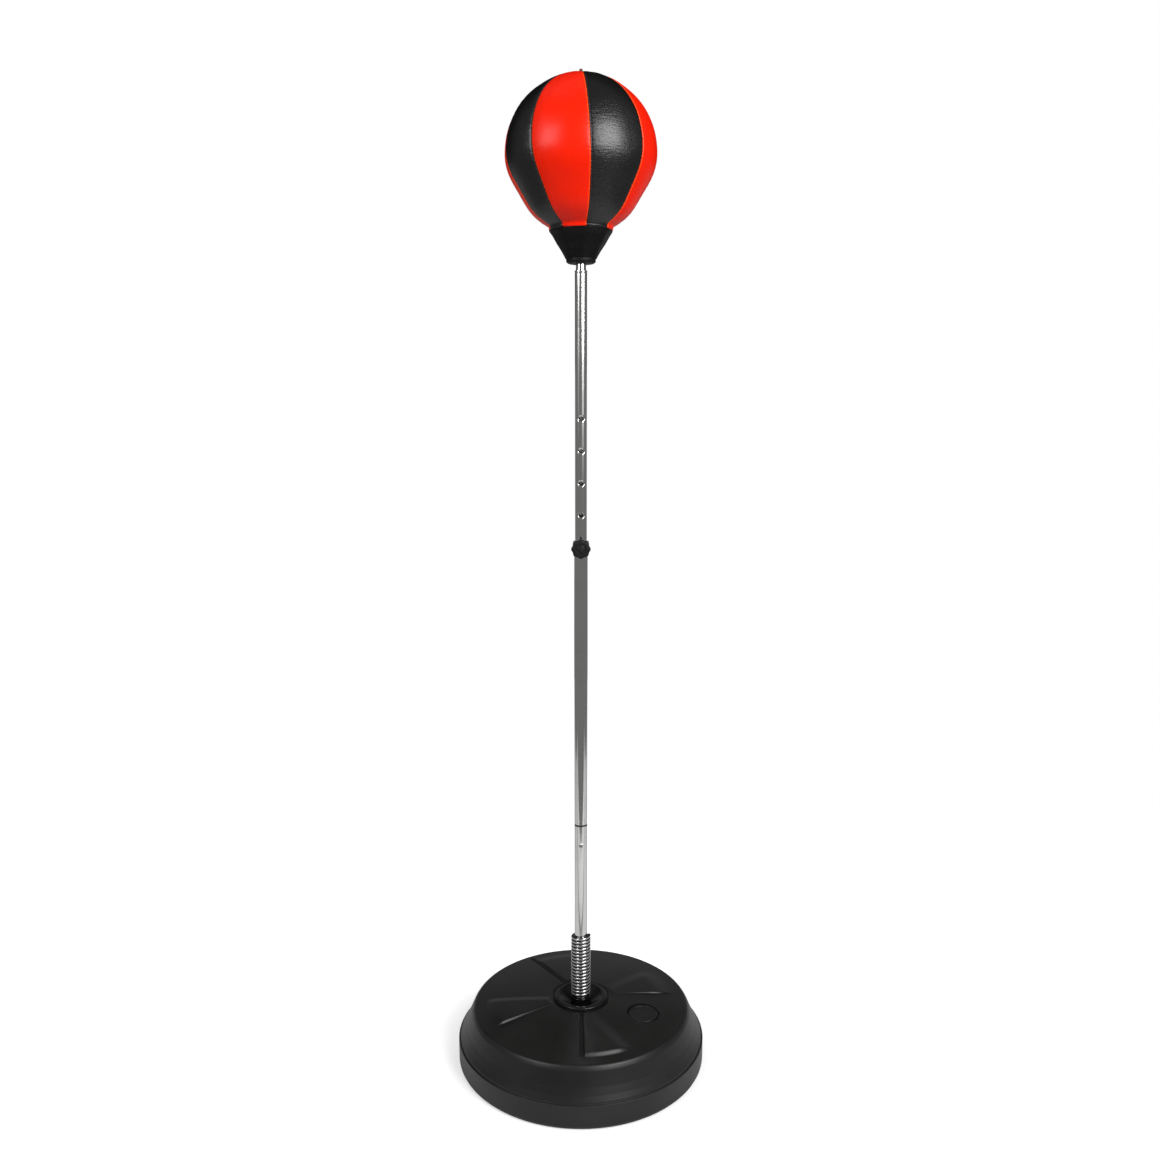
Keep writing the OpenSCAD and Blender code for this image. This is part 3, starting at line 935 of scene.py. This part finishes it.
    def shape_top(self, mesh: Mesh) -> None:
        """Raises the vanes on the domed top and sinks a moat round the ring.

        Args:
            mesh: the shell of the base.
        """
        for vert in mesh.verts:
            radius = vert.co.xy.length / MM
            outside = not self.ring_r + 0.5 < radius < self.rim_r
            if outside or vert.co.z / MM < self.top_at(radius) - 1:
                continue
            degrees = math.degrees(bearing(vert))
            rise = max(vane.rise_at(radius, degrees) for vane in self.vanes)
            sink = 1.0 - smooth(radius, self.ring_r, self.ring_r + self.moat_w)
            groove = sum(crease.sink_at(radius, degrees) for crease in self.creases)
            vert.co.z += (rise * self.vane_rise - sink * self.moat - groove) * MM

    def cap_cutter(self) -> Mesh:
        """The recess and the hole that the filler plug sits in."""
        low, high = box_mm("fill_seal")
        floor, top, middle = low.z, low.z + self.reach, (low + high) / 2
        outline = [
            (0, floor - self.reach), (self.hole_r, floor - self.reach), (self.hole_r, floor),
            (self.seat_r, floor), (self.seat_r, top), (0, top),
        ]
        return shift(lathe(outline), middle.x, middle.y)

    def build(self) -> None:
        """Makes the base."""
        shell = lathe(self.outline(), self.steps, closed=True)
        self.crowd_steps(shell)
        self.shape_top(shell)
        outward(shell)
        inside = lathe(self.hollow(), closed=True)
        bmesh.ops.reverse_faces(inside, faces=inside.faces[:])
        mesh = join(shell, inside)
        base = add_piece(
            "moulded_base", mesh, Finishes.base, Body.BASE, ["base_shell"], 50
        )
        subtract(base, self.cap_cutter())


@dataclass
class FillerPlug:
    """Push-in bung with a dished top and a finger lip."""

    rim_t: float = 3.2
    stem_in: float = 8.0
    dish_in: float = 3.0
    dish_t: float = 0.8

    def build(self) -> None:
        """Makes the plug."""
        low, high = box_mm("fill_plug")
        radius = (high.x - low.x) / 2
        top, under = high.z, high.z - self.rim_t
        stem, dish = radius - self.stem_in, radius - self.dish_in
        mesh = turned(
            (0, top - self.dish_t, 0), (dish, top - self.dish_t, 0.8), (dish + 0.8, top, 0.7),
            (radius, top, 2.0), (radius, under, 0.5), (stem, under, 0.4), (stem, low.z, 1.2),
            (stem - 3, low.z, 0.4), (stem - 3, under - 1.5, 0.5), (0, under - 1.5, 0),
        )
        middle = (low + high) / 2
        shift(mesh, middle.x, middle.y)
        add_piece("filler_bung", mesh, Finishes.cap, Body.FILL_PLUG, ["fill_plug"])


@dataclass
class SpringSocket:
    """Glossy sleeve that carries the spring in the base."""

    chamfer: float = 1.2
    bore_r: float = 11.1
    bolt_r: float = 6.1
    floor_t: float = 36.0

    def build(self) -> None:
        """Makes the sleeve."""
        low, high = box_mm("socket_sleeve")
        radius, floor = high.x, low.z + self.floor_t
        mesh = turned(
            (self.bolt_r, low.z, 0), (radius, low.z, 0.5), (radius, high.z, self.chamfer),
            (self.bore_r, high.z, 0.5), (self.bore_r, floor, 0), (self.bolt_r, floor, 0),
            closed=True,
        )
        add_piece(
            "spring_socket", mesh, Finishes.boss, Body.BASE, ["socket_sleeve"]
        )


@dataclass
class CoilSpring:
    """Close-wound spring in two halves."""

    turns: float = 18.0
    wire_r: float = 2.85
    wire_sides: int = 20
    turn_steps: int = 56
    grip: float = 13.0
    gap_from: float = 0.35
    gap_to: float = 0.85

    def __post_init__(self) -> None:
        """Reads the spring's size from the frame."""
        low, high = box_mm("coil_spring")
        self.sleeve_top = box_mm("socket_sleeve")[1].z
        self.coil_r = high.x - self.wire_r
        self.pitch = (high.z - low.z - 2 * self.wire_r) / self.turns
        self.foot = self.sleeve_top + self.wire_r

    def half(self, first_turn: float) -> Mesh:
        """Half of the coil.

        Args:
            first_turn: where it starts, in turns from the foot.

        Returns:
            Its mesh.
        """
        made = bmesh.new()
        count = self.turns / 2
        steps = round(count * self.turn_steps)
        ring = bmesh.ops.create_circle(
            made, cap_ends=False, segments=self.wire_sides, radius=self.wire_r * MM
        )
        lift = (self.coil_r * MM, 0, (self.foot + first_turn * self.pitch) * MM)
        start = Matrix.Rotation(math.tau * first_turn, 4, "Z") @ Matrix.Translation(lift)
        upright = Matrix.Rotation(math.pi / 2, 4, "X")
        bmesh.ops.transform(made, matrix=start @ upright, verts=ring["verts"])
        bmesh.ops.spin(
            made, geom=made.verts[:] + made.edges[:], cent=(0, 0, 0), axis=(0, 0, 1),
            dvec=(0, 0, self.pitch * count / steps * MM), angle=math.tau * count, steps=steps,
        )
        bmesh.ops.holes_fill(made, edges=[e for e in made.edges if e.is_boundary], sides=0)
        outward(made)
        # gap: where painted shade falls between turns that nearly touch
        gap = made.verts.layers.float.new("gap")
        for vert in made.verts:
            turn = bearing(vert) / math.tau
            phase = (vert.co.z / MM - self.foot) / self.pitch - turn
            away = abs(phase - round(phase)) * self.pitch / self.wire_r
            vert[gap] = smooth(away, self.gap_from, self.gap_to)
        return made

    def build(self) -> None:
        """Makes both halves."""
        first, second = self.half(0.0), self.half(self.turns / 2)
        lower = add_piece(
            "spring_lower_coils", first, Finishes.coil, None, ["coil_spring"], 60
        )
        upper = add_piece("spring_upper_coils", second, Finishes.coil, None, [], 60)
        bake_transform(lower)
        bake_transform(upper)


# ---------------------------------------------------------------- the pole


@dataclass
class PoleFittings:
    """Collar, welded nut, lock screw and star knob."""

    thread_pitch: float = 1.25
    thread_r: float = 3.98
    root_r: float = 3.35
    pin_r: float = 3.2
    pin_length: float = 5.3
    turn_steps: int = 40
    nut_t: float = 9.0
    tube_r: float = 11.06
    mouth_r: float = 9.7
    lobes: int = 8
    lobe_depth: float = 1.5
    lobe_out: float = 1.0
    disc_r: float = 6.6
    disc_in: float = 1.6

    def collar(self) -> None:
        """Makes the rolled chrome collar at the top of the middle tube."""
        low, high = box_mm("collar")
        radius, top = high.x, high.z
        mesh = turned(
            (self.tube_r, low.z, 0.3), (radius, low.z, 1.2), (radius, top - 4, 0.6),
            (radius - 0.7, top - 3.4, 0.4), (radius - 0.7, top, 1.0), (self.mouth_r, top, 0.4),
            (self.mouth_r, top - 3, 0.2), (self.tube_r, top - 3.05, 0.2),
            closed=True,
        )
        made = add_piece("rolled_collar", mesh, Finishes.chrome, Body.POLE, ["collar"])
        drill_for_screw(made)

    def screw(self) -> None:
        """Makes the lock screw with its thread and plain pin."""
        low, high = box_mm("lock_screw")
        tip, tail = -high.y, -low.y
        start, step = tip + self.pin_length, self.thread_pitch / 2
        mesh = bmesh.new()
        verts = []
        for row in range(round((tail - start) / self.thread_pitch * 2) + 1):
            radius = self.thread_r if row % 2 else self.root_r
            verts.append(mesh.verts.new((radius * MM, 0, (start + row * step) * MM)))
        edges = [mesh.edges.new(pair) for pair in zip(verts, verts[1:])]
        bmesh.ops.spin(
            mesh, geom=verts + edges, cent=(0, 0, 0), axis=(0, 0, 1), angle=math.tau,
            steps=self.turn_steps, dvec=(0, 0, -self.thread_pitch / self.turn_steps * MM),
        )
        bmesh.ops.remove_doubles(mesh, verts=mesh.verts[:], dist=2e-6)
        outward(mesh)
        root, pin_r = start + 1.5, self.pin_r
        corners = (0, tip, 0), (pin_r, tip, 0.6), (pin_r, root, 0), (0, root, 0)
        pin = turned(*corners, steps=self.turn_steps)
        screw = to_front(join(mesh, pin), mid_height("lock_screw"), 0)
        add_piece(
            "threaded_lock_screw", screw, Finishes.zinc, Body.KNOB, ["lock_screw"], 50
        )

    def nut(self) -> None:
        """Makes the welded nut on the collar."""
        low, high = box_mm("collar_nut")
        corner = (high.z - low.z) / 2 / math.cos(math.pi / 6)
        mesh = bmesh.new()
        bmesh.ops.create_circle(mesh, cap_ends=True, segments=6, radius=corner * MM)
        grown = bmesh.ops.extrude_face_region(mesh, geom=mesh.faces[:])
        lifted = [item for item in grown["geom"] if isinstance(item, bmesh.types.BMVert)]
        bmesh.ops.translate(mesh, vec=(0, 0, self.nut_t * MM), verts=lifted)
        outward(mesh)
        bmesh.ops.bevel(
            mesh, geom=mesh.edges[:], offset=0.5 * MM, offset_type="OFFSET", segments=2,
            profile=0.5, affect="EDGES", material=-1,
        )
        turn = Matrix.Rotation(math.pi / 6, 3, "Z")
        bmesh.ops.rotate(mesh, cent=(0, 0, 0), matrix=turn, verts=mesh.verts[:])
        to_front(mesh, mid_height("collar_nut"), -low.y - self.nut_t)
        add_piece("welded_nut", mesh, Finishes.zinc, Body.POLE, ["collar_nut"], 35)

    def knob(self) -> None:
        """Makes the star knob, with eight soft lobes and a domed cap."""
        low, high = box_mm("star_knob")
        height = mid_height("star_knob")
        radius = (high.x - low.x) / 2 + self.lobe_out
        back, face = -high.y, -low.y
        thick = face - back
        seat, lip = thick - self.disc_in, thick - 0.6
        outline = fillet(
            (4.1, 0, 0), (8, 0, 0.6), (8, 2.2, 0.8), (radius, 3.2, 1.6),
            (radius, thick - 0.5, 3.2), (7.2, lip, 0.6), (6.8, seat, 0.3), (0, seat, 0),
        )
        mesh = lathe(densify(outline, 1.2), 192)
        for vert in mesh.verts:
            reach = math.hypot(vert.co.x, vert.co.y) / MM
            turn = bearing(vert)
            wave = abs(math.cos(self.lobes * turn / 2)) ** 1.6
            pull = smooth(reach, 8.2, radius) * self.lobe_depth * (1 - wave)
            vert.co.xy *= 1 - pull / max(reach, 0.1)
        to_front(mesh, height, back)
        add_piece("star_grip", mesh, Finishes.knob, Body.KNOB, ["star_knob"], 50)
        disc = self.disc_r
        dome = turned(
            (0, seat, 0), (disc, seat, 0.2), (disc, lip, 0.9), (0, thick + 0.3, 0), steps=64
        )
        to_front(dome, height, back)
        add_piece("knob_disc", dome, Finishes.cap, Body.KNOB, ["knob_cap"])

    def build(self) -> None:
        """Makes the fittings."""
        self.collar()
        self.screw()
        self.nut()
        self.knob()


@dataclass
class PoleTubes:
    """Lower and middle tubes, whose rounded ends meet in a groove and carry painted shade."""

    wall: float = 1.4
    end_round: float = 0.6
    end_shade: float = 1.3
    fade: float = 0.4

    def tube(self, name: str, node: str) -> Object:
        """Makes a tube.

        Args:
            name: the piece's name.
            node: the CAD node that it stands for.

        Returns:
            The piece.
        """
        low, high = box_mm(node)
        outer, inner, unshaded = high.x, high.x - self.wall, self.end_shade + self.fade
        rows = (low.z + self.end_shade, low.z + unshaded, high.z - unshaded, high.z - self.end_shade)
        mesh = turned(
            (inner, low.z, 0.1), (outer, low.z, self.end_round),
            *((outer, row, 0) for row in rows),
            (outer, high.z, self.end_round), (inner, high.z, 0.1),
            steps=128, closed=True,
        )
        # painted shade at the tube ends, where the tubes meet in a groove
        gap = mesh.verts.layers.float.new("gap")
        for vert in mesh.verts:
            away = min(abs(vert.co.z / MM - low.z), abs(vert.co.z / MM - high.z))
            vert[gap] = 1.0 - smooth(away, self.end_shade, unshaded)
        return add_piece(name, mesh, Finishes.chrome, Body.POLE, [node], 60)

    def build(self) -> None:
        """Makes both tubes, and the screw's hole in the middle one."""
        self.tube("lower_pole_tube", "lower_tube")
        drill_for_screw(self.tube("middle_pole_tube", "middle_tube"))


@dataclass
class SlidingTube:
    """Top tube with its pressed-in locating holes, its rolled shoulder and its neck."""

    wall: float = 1.2
    neck_r: float = 7.8
    neck_z: float = 1316.5
    shoulder_z: float = 1308.0
    seat_r: float = 6.0
    seat_bore: float = 4.6
    hole_r: float = 3.4
    hole_pitch: float = 51.0
    holes: int = 6
    row_pitch: float = 0.5
    press: float = 1.7
    press_r: float = 6.2
    steps: int = 128

    def __post_init__(self) -> None:
        """Reads the tube's size from the frame."""
        low, high = box_mm("top_tube")
        self.radius, self.foot, self.top = high.x, low.z, high.z
        first = mid_height("collar_nut") - self.hole_pitch
        self.hole_z = [first + self.hole_pitch * spot for spot in range(self.holes)]

    def wall_heights(self) -> list[float]:
        """Heights of the rows of vertices in the wall, close together at the holes."""
        heights = [self.foot + 8.0]
        for centre in self.hole_z:
            rows = [centre - 7.0 + self.row_pitch * row for row in range(29)]
            heights += [centre - 15.0, *rows, centre + 15.0]
        return heights + [1180.0, 1260.0]

    def build(self) -> None:
        """Makes the tube."""
        r, inner, under = self.radius, self.radius - self.wall, box_mm("rim_disc")[0].z
        heights = self.wall_heights()
        edge, neck, neck_r, seat, bore = (
            self.shoulder_z, self.neck_z, self.neck_r, self.seat_r, self.seat_bore
        )
        shoulder = fillet(
            (r, edge, 0), (r, neck - 4.0, 1.0), (r + 0.35, neck - 2.0, 0.8),
            (r + 0.1, neck, 0.7), (neck_r, neck + 0.3, 0.5), (neck_r, under - 0.1, 0.2),
            (seat, under, 0), (seat, self.top, 0.4), (bore, self.top, 0.2),
            (bore, edge + 4.0, 0), (inner, edge, 0),
        )
        outline = [(r, z) for z in (self.foot, *heights)] + shoulder
        outline += [(inner, z) for z in (*reversed(heights), self.foot)]
        mesh = lathe(outline, self.steps, closed=True)
        for vert in mesh.verts:
            if vert.co.y > 0 or vert.co.z / MM > 1200.0:
                continue
            away = min(math.hypot(vert.co.x / MM, vert.co.z / MM - z) for z in self.hole_z)
            vert.co.y += self.press * (1.0 - smooth(away, self.hole_r - 0.6, self.press_r)) * MM
        tube = add_piece(
            "drawn_top_tube", mesh, Finishes.sliding, Body.UPPER, ["top_tube"], 50
        )
        subtract(tube, join(*(front_drill(z, self.hole_r) for z in self.hole_z)))


# ---------------------------------------------------------------- the ball


@dataclass
class Ball:
    """Inflated leather cover of eight panels on its conical skirt."""

    radius: float = 116.0
    panel_deg: float = 45.0
    pinch: float = 6.4
    pinch_low: float = 1.3
    slack: float = 1.07
    mouth_r: float = 55.2
    hem_drop: float = 9.6
    hem_in: float = 6.0
    bulge: float = 0.7
    seam_depth: float = 1.5
    pucker_h: float = 0.16
    wave_h: float = 0.4
    lip_h: float = 0.3
    tuck: float = 2.2
    fold_h: float = 0.35
    flat_crown: float = 0.6
    cover_t: float = 2.2
    crown_r: float = 8.0
    first_seam: float = -129.0
    twist_top: float = -2.0
    twist_hem: float = 4.0
    narrower: float = 4.5
    across: int = 32
    along: int = 120
    skirt_foot_r: float = 24.9
    skirt_top_r: float = 49.7
    skirt_facet: float = 0.85
    skirt_crease: float = 1.1
    bolt_r: float = 6.1

    def __post_init__(self) -> None:
        """Reads the ball's size from the frame and sets out the seams."""
        self.seams = [self.first_seam + self.panel_deg * spot for spot in range(9)]
        self.seams[7] += self.narrower
        self.foot = box_mm("panel_red_1")[0].z
        self.drop = math.sqrt(self.radius**2 - self.mouth_r**2)
        self.centre = self.foot + self.drop
        self.top_turn = math.asin(self.crown_r / self.radius)
        self.upper = (math.pi / 2 - self.top_turn) * self.radius
        self.lower = self.slack * self.drop
        self.length = self.upper + self.lower + math.hypot(self.hem_drop, self.hem_in)

    def outline_at(self, along: float) -> tuple[Point, Vector]:
        """A place on the ball's outline.

        Args:
            along: distance from the crown down the outline, in millimetres.

        Returns:
            Its radius and height, and its outward direction.
        """
        if along <= self.upper:
            angle = self.top_turn + along / self.radius
            out = Vector((math.sin(angle), math.cos(angle)))
            return (self.radius * out.x, self.centre + self.radius * out.y), out
        below = (along - self.upper) / self.lower * self.drop
        if below > self.drop:
            t = (along - self.upper - self.lower) / (self.length - self.upper - self.lower)
            out = Vector((self.hem_drop, -self.hem_in)).normalized()
            return (self.mouth_r - t * self.hem_in, self.foot - t * self.hem_drop), out
        reach = math.sqrt(self.radius**2 - below**2)
        turn = math.pi * (below / self.drop) ** self.pinch_low
        growth = self.pinch_low * turn / below if below > 0 else 0.0
        pinch = self.pinch * math.sin(turn) ** 2
        slope = -below / reach - self.pinch * math.sin(2 * turn) * growth
        out = Vector((1.0, slope)).normalized()
        return (reach - pinch, self.centre - below), out

    def relief(self, u: float, along: float, reach: float, turn: float, half: float) -> float:
        """How far a panel stands out at a place, in millimetres.

        Args:
            u: place across the panel, from -1 to 1.
            along: distance from the crown down the outline.
            reach: radius there.
            turn: direction there, in radians.
            half: half of the panel's turn, in radians.

        Returns:
            The height above the outline.
        """
        from_seam = (1.0 - abs(u)) * reach * half
        from_hem = self.length - along
        swell = self.bulge * (1 - u * u) * smooth(from_hem, 0.0, 40.0)
        seam = -self.seam_depth * math.exp(-from_seam / 1.1)
        stretch = math.exp(-((from_seam / 12.0) ** 2))
        spot = Vector((turn * 3.0, along * 0.1, 0.0))
        pucker = self.pucker_h * stretch * math.sin(along * 0.72 + 2.2 * noise.noise(spot))
        wave = noise.noise(Vector((turn * 4.0, along * 0.03, 3.0))) * self.wave_h
        lip = self.lip_h * math.exp(-((from_hem / 1.3) ** 2))
        hollow = -self.tuck * math.exp(-(((from_hem - 5.5) / 3.0) ** 2))
        fold = self.fold_h * math.exp(-(((from_hem - 12.5) / 3.0) ** 2))
        return swell + seam + pucker + wave + lip + hollow + fold

    def panel(self, number: int) -> Mesh:
        """The mesh of one panel.

        Args:
            number: its place, counted anticlockwise from the left of the front.

        Returns:
            Its outer surface, with a map of its cut.
        """
        mesh = bmesh.new()
        cut = mesh.loops.layers.uv.new("cut")
        bmesh.ops.create_grid(mesh, x_segments=self.across, y_segments=self.along, size=1.0)
        first, last = (math.radians(seam) for seam in self.seams[number:number + 2])
        middle, half = (first + last) / 2, (last - first) / 2
        places = {}
        for vert in mesh.verts:
            even = vert.co.x
            u = math.copysign(1 - (1 - abs(even)) ** 1.8, even)
            along = (1.0 - vert.co.y) / 2.0 * self.length
            (reach, height), out = self.outline_at(along)
            share = along / self.length
            turn = middle + u * half * 0.9985
            flat = self.flat_crown * (1.0 - smooth(along, 30.0, 120.0))
            reach *= 1.0 - flat * (1.0 - math.cos(half) / math.cos(u * half))
            stand = self.relief(u, along, reach, turn, half) - 0.3
            turn += math.radians(self.twist_top + (self.twist_hem - self.twist_top) * share**1.5)
            places[vert] = ((1.0 - abs(u)) * reach * half / 100, along / 100)
            reach += out.x * stand
            height += out.y * stand
            vert.co = Vector((reach * math.cos(turn), reach * math.sin(turn), height)) * MM
        for face in mesh.faces:
            for loop in face.loops:
                loop[cut].uv = places[loop.vert]
        outward(mesh)
        probe = max(mesh.faces, key=lambda face: face.calc_center_median().xy.length)
        if probe.normal.dot(Vector((*probe.calc_center_median().xy, 0))) < 0:
            bmesh.ops.reverse_faces(mesh, faces=mesh.faces[:])
        return mesh

    def cover(self) -> None:
        """Makes the eight panels."""
        for number in range(8):
            red = number % 2 == 0
            colour = "red" if red else "black"
            finish = Finishes.red if red else Finishes.black
            count = number // 2 + 1
            node, name = f"panel_{colour}_{count}", f"{colour}_gore_{count}"
            made = add_piece(name, self.panel(number), finish, Body.UPPER, [node], 70)
            wall = made.modifiers.new("wall", "SOLIDIFY")
            wall.thickness = self.cover_t * MM
            wall.offset = -1.0

    def skirt(self) -> None:
        """Makes the conical skirt, folded in line with the panels."""
        low, high = box_mm("skirt")
        foot_r, top_r, half = self.skirt_foot_r, self.skirt_top_r, self.panel_deg / 2
        foot_z, top_z = low.z - 1.2, high.z - 9.8
        middle = (foot_z + top_z) / 2
        outline = fillet(
            (foot_r - 3, foot_z, 0.3), (foot_r - 0.4, foot_z, 1.0),
            (foot_r + 0.6, foot_z + 2.5, 1.5), ((foot_r + top_r) / 2 + 0.5, middle, 30),
            (top_r, top_z, 0.6), (top_r - 3, top_z + 1.6, 0.8),
            ((foot_r + top_r) / 2 - 3, middle, 0),
            closed=True,
        )
        mesh = lathe(densify(outline + outline[:1], 1.6)[:-1], 256, closed=True)
        for vert in mesh.verts:
            reach, height = vert.co.xy.length / MM, vert.co.z / MM
            turn = math.degrees(bearing(vert)) - self.first_seam - self.twist_hem
            away = abs((turn + half) % self.panel_deg - half) / half
            rise = smooth((height - foot_z) / (top_z - foot_z), 0.02, 0.35)
            inward = 1.0 - math.cos(math.pi / 8) / math.cos((1.0 - away) * math.pi / 8)
            facet = inward * self.skirt_facet
            rise *= 1.0 - 0.7 * smooth(height, top_z - 9.0, top_z)
            crease = self.skirt_crease * math.exp(-((away * reach * 0.39 / 1.5) ** 2))
            ripple = 0.3 * noise.noise(vert.co * 55.0)
            vert.co.xy *= 1 - (facet * rise * reach + crease * rise + ripple) / reach
        made = add_piece(
            "folded_skirt", mesh, Finishes.plain_black, Body.UPPER,
            ["skirt"], 60,
        )

    def rim(self) -> None:
        """Makes the glossy disc that clamps the skirt."""
        low, high = box_mm("rim_disc")
        radius = high.x
        mesh = turned(
            (self.bolt_r, low.z, 0.3), (radius - 3, low.z, 1.2), (radius, low.z + 2.2, 1.6),
            (radius, high.z, 1.4), (self.bolt_r, high.z, 0.3),
            closed=True,
        )
        add_piece("clamp_disc", mesh, Finishes.disc, Body.UPPER, ["rim_disc"])

    def crown(self) -> None:
        """Makes the crown patch and the small hanging tab."""
        low, high = box_mm("crown_button")
        patch = turned(
            (0, low.z, 0), (high.x, low.z, 0.4), (high.x, high.z - 0.8, 0.8),
            (0, high.z + 0.2, 0), steps=64,
        )
        add_piece(
            "crown_patch", patch, Finishes.plain_black, Body.UPPER,
            ["crown_button"],
        )
        low, high = box_mm("crown_tab")
        tab = turned(
            (0, low.z, 0), (high.x - 0.6, low.z, 0.3), (high.x, low.z + 3, 1.5),
            (high.x - 0.7, high.z, 1.4), (0, high.z, 0),
            steps=48,
        )
        bmesh.ops.scale(tab, vec=(1.0, 0.6, 1.0), verts=tab.verts[:])
        add_piece("crown_loop", tab, Finishes.tab, Body.UPPER, ["crown_tab"])

    def build(self) -> None:
        """Makes the ball."""
        self.cover()
        self.skirt()
        self.rim()
        self.crown()


def dress_nodes() -> None:
    """Gives each CAD node that stays a finish."""
    dressed = (
        (Finishes.zinc, "spring_plug base_bolt base_washer tube_joiner joiner_rivet"),
        (Finishes.zinc, "feed_washer seat_washer seat_nut"),
        (Finishes.seal, "fill_seal end_bush bladder_valve"),
        (Finishes.knob, "ball_seat"),
        (Finishes.latex, "bladder"),
    )
    for finish, names in dressed:
        for name in names.split():
            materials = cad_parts[name].data.materials
            materials.clear()
            materials.append(material_of(finish))
            LOG.info("dressed %s", name)


# ---------------------------------------------------------------- the studio


@dataclass
class Studio:
    """Pale floor, two front soft boxes, lights above and behind, a surround and the camera."""

    camera_place: Corner = (-0.0015, -1.7129, 1.1044)
    tilt_deg: float = 9.06
    lens: float = 33.22
    surround_light: float = 0.15
    surround_shine: float = 0.17
    floor_half: float = 1.6
    floor_front: float = 0.93
    floor_back: float = 2.6
    box_back: float = 1.9
    aim_height: float = 1.45
    fringe_h: float = 0.15
    fringe_shares: tuple[float, ...] = (1.0, 0.55, 0.25)

    def place(self, name: str, data: bpy.types.ID, where: Sequence[float]) -> Object:
        """Puts a camera or a light in the scene, in metres."""
        made = bpy.data.objects.new(name, data)
        made.location = where
        bpy.context.scene.collection.objects.link(made)
        return made

    def camera(self) -> None:
        """Places the camera."""
        data = bpy.data.cameras.new("view")
        data.lens = self.lens
        data.sensor_width = 36.0
        data.clip_start = 0.05
        data.clip_end = 60.0
        made = self.place("view", data, self.camera_place)
        made.rotation_euler = (math.radians(90.0 - self.tilt_deg), 0, 0)
        bpy.context.scene.camera = made

    def lamp(self, name: str, where: Corner, aim: Corner, size: Point, power: float) -> Object:
        """Adds a soft box.

        Args:
            name: its name.
            where: where it stands, in metres.
            aim: the point that it faces.
            size: its width and height.
            power: its power in watts.

        Returns:
            The lamp.
        """
        data = bpy.data.lights.new(name, "AREA")
        data.shape = "RECTANGLE"
        data.size, data.size_y = size
        data.energy = power
        made = self.place(name, data, where)
        made.rotation_euler = (Vector(aim) - Vector(where)).to_track_quat("-Z", "Y").to_euler()
        return made

    def box(
        self, name: str, degrees: float, width: float, span: Point, glow: float, fringe: float
    ) -> None:
        """Adds a soft box in front of the object, with a dim fringe below it.

        Args:
            name: its side.
            degrees: its direction from the front, to the right.
            width: its width in metres.
            span: heights of its lower and upper edges.
            glow: how bright it is, 1 being white.
            fringe: how bright its fringe is.
        """
        low, high = span
        turn = math.radians(degrees)
        x, y = self.box_back * math.sin(turn), -self.box_back * math.cos(turn)
        tall = high - low
        power = glow * math.pi * width * tall
        aim = (0, 0, self.aim_height)
        self.lamp(f"{name}_box", (x, y, (low + high) / 2), aim, (width, tall), power)
        for row, share in enumerate(self.fringe_shares):
            height = low - self.fringe_h * (row + 0.5)
            power = fringe * share * math.pi * width * self.fringe_h
            size = (width, self.fringe_h)
            self.lamp(f"{name}_fringe_{row}", (x, y, height), (0, 0, height), size, power)

    def card(self, name: str, half: Point, where: Matrix, finish: Finish) -> Object:
        """Adds a flat card to the studio.

        Args:
            name: its name.
            half: half of its width and of its height, in metres.
            where: its place and direction.
            finish: its finish.

        Returns:
            The card.
        """
        mesh = bmesh.new()
        bmesh.ops.create_grid(mesh, x_segments=1, y_segments=1, size=1.0)
        bmesh.ops.scale(mesh, vec=(*half, 1.0), verts=mesh.verts[:])
        bmesh.ops.transform(mesh, matrix=where, verts=mesh.verts[:])
        made = finish_mesh(name, mesh, finish)
        return made

    def flag(self) -> None:
        """Adds a black card high behind the object, which only reflections see."""
        turn = Matrix.Translation((0, 2.9, 4.3)) @ Matrix.Rotation(math.pi / 2, 4, "X")
        made = self.card("flag", (5.0, 3.0), turn, Finishes.card)
        made.visible_camera = False
        made.visible_diffuse = False
        made.visible_shadow = False
        made.visible_transmission = False

    def floor(self) -> None:
        """A pale floor that keeps the object's shadow and fades to white."""
        half = (self.floor_front + self.floor_back) / 2
        middle = Matrix.Translation((0, half - self.floor_front, 0))
        self.card("floor", (self.floor_half, half), middle, Finishes.floor)

    def world(self) -> None:
        """A white surround for the camera, plain and grey for the light and the reflections."""
        made = bpy.data.worlds.new("studio")
        made.use_nodes = True
        bpy.context.scene.world = made
        graph = Graph(made.node_tree)
        ray = graph.node("LightPath")
        seen = graph.get(ray, "Is Camera Ray")
        glossy = graph.get(ray, "Is Glossy Ray")
        plain = glossy * self.surround_shine + (1.0 - glossy) * self.surround_light
        light = {"Color": (1, 1, 1, 1), "Strength": seen + (1.0 - seen) * plain}
        graph.finish(graph.node("Background", inputs=light), "World")

    def build(self) -> None:
        """Sets up the studio."""
        bpy.context.scene.view_settings.view_transform = "Standard"
        self.camera()
        self.box("left", -48.0, 0.85, (1.53, 2.4), 8.5, 0.55)
        self.box("right", 39.0, 1.25, (1.35, 2.5), 10.5, 0.8)
        self.lamp("back_glow", (0.0, 2.3, 0.95), (0, 0, 0.95), (5.0, 1.3), 3.0)
        above = self.lamp("top_box", (0.0, 0.4, 3.3), (0, 0, 0.5), (1.6, 1.6), 12.0)
        above.visible_glossy = False
        self.world()
        self.floor()
        self.flag()


def main() -> None:
    """Builds the object and its studio."""
    logging.basicConfig(level=logging.INFO, format="%(name)s: %(message)s")
    assemblies = (
        Studio, FillableBase, FillerPlug, SpringSocket, CoilSpring, PoleFittings, PoleTubes,
        SlidingTube, Ball,
    )
    for assembly in assemblies:
        assembly().build()
    dress_nodes()


if __name__ == "__main__":
    main()
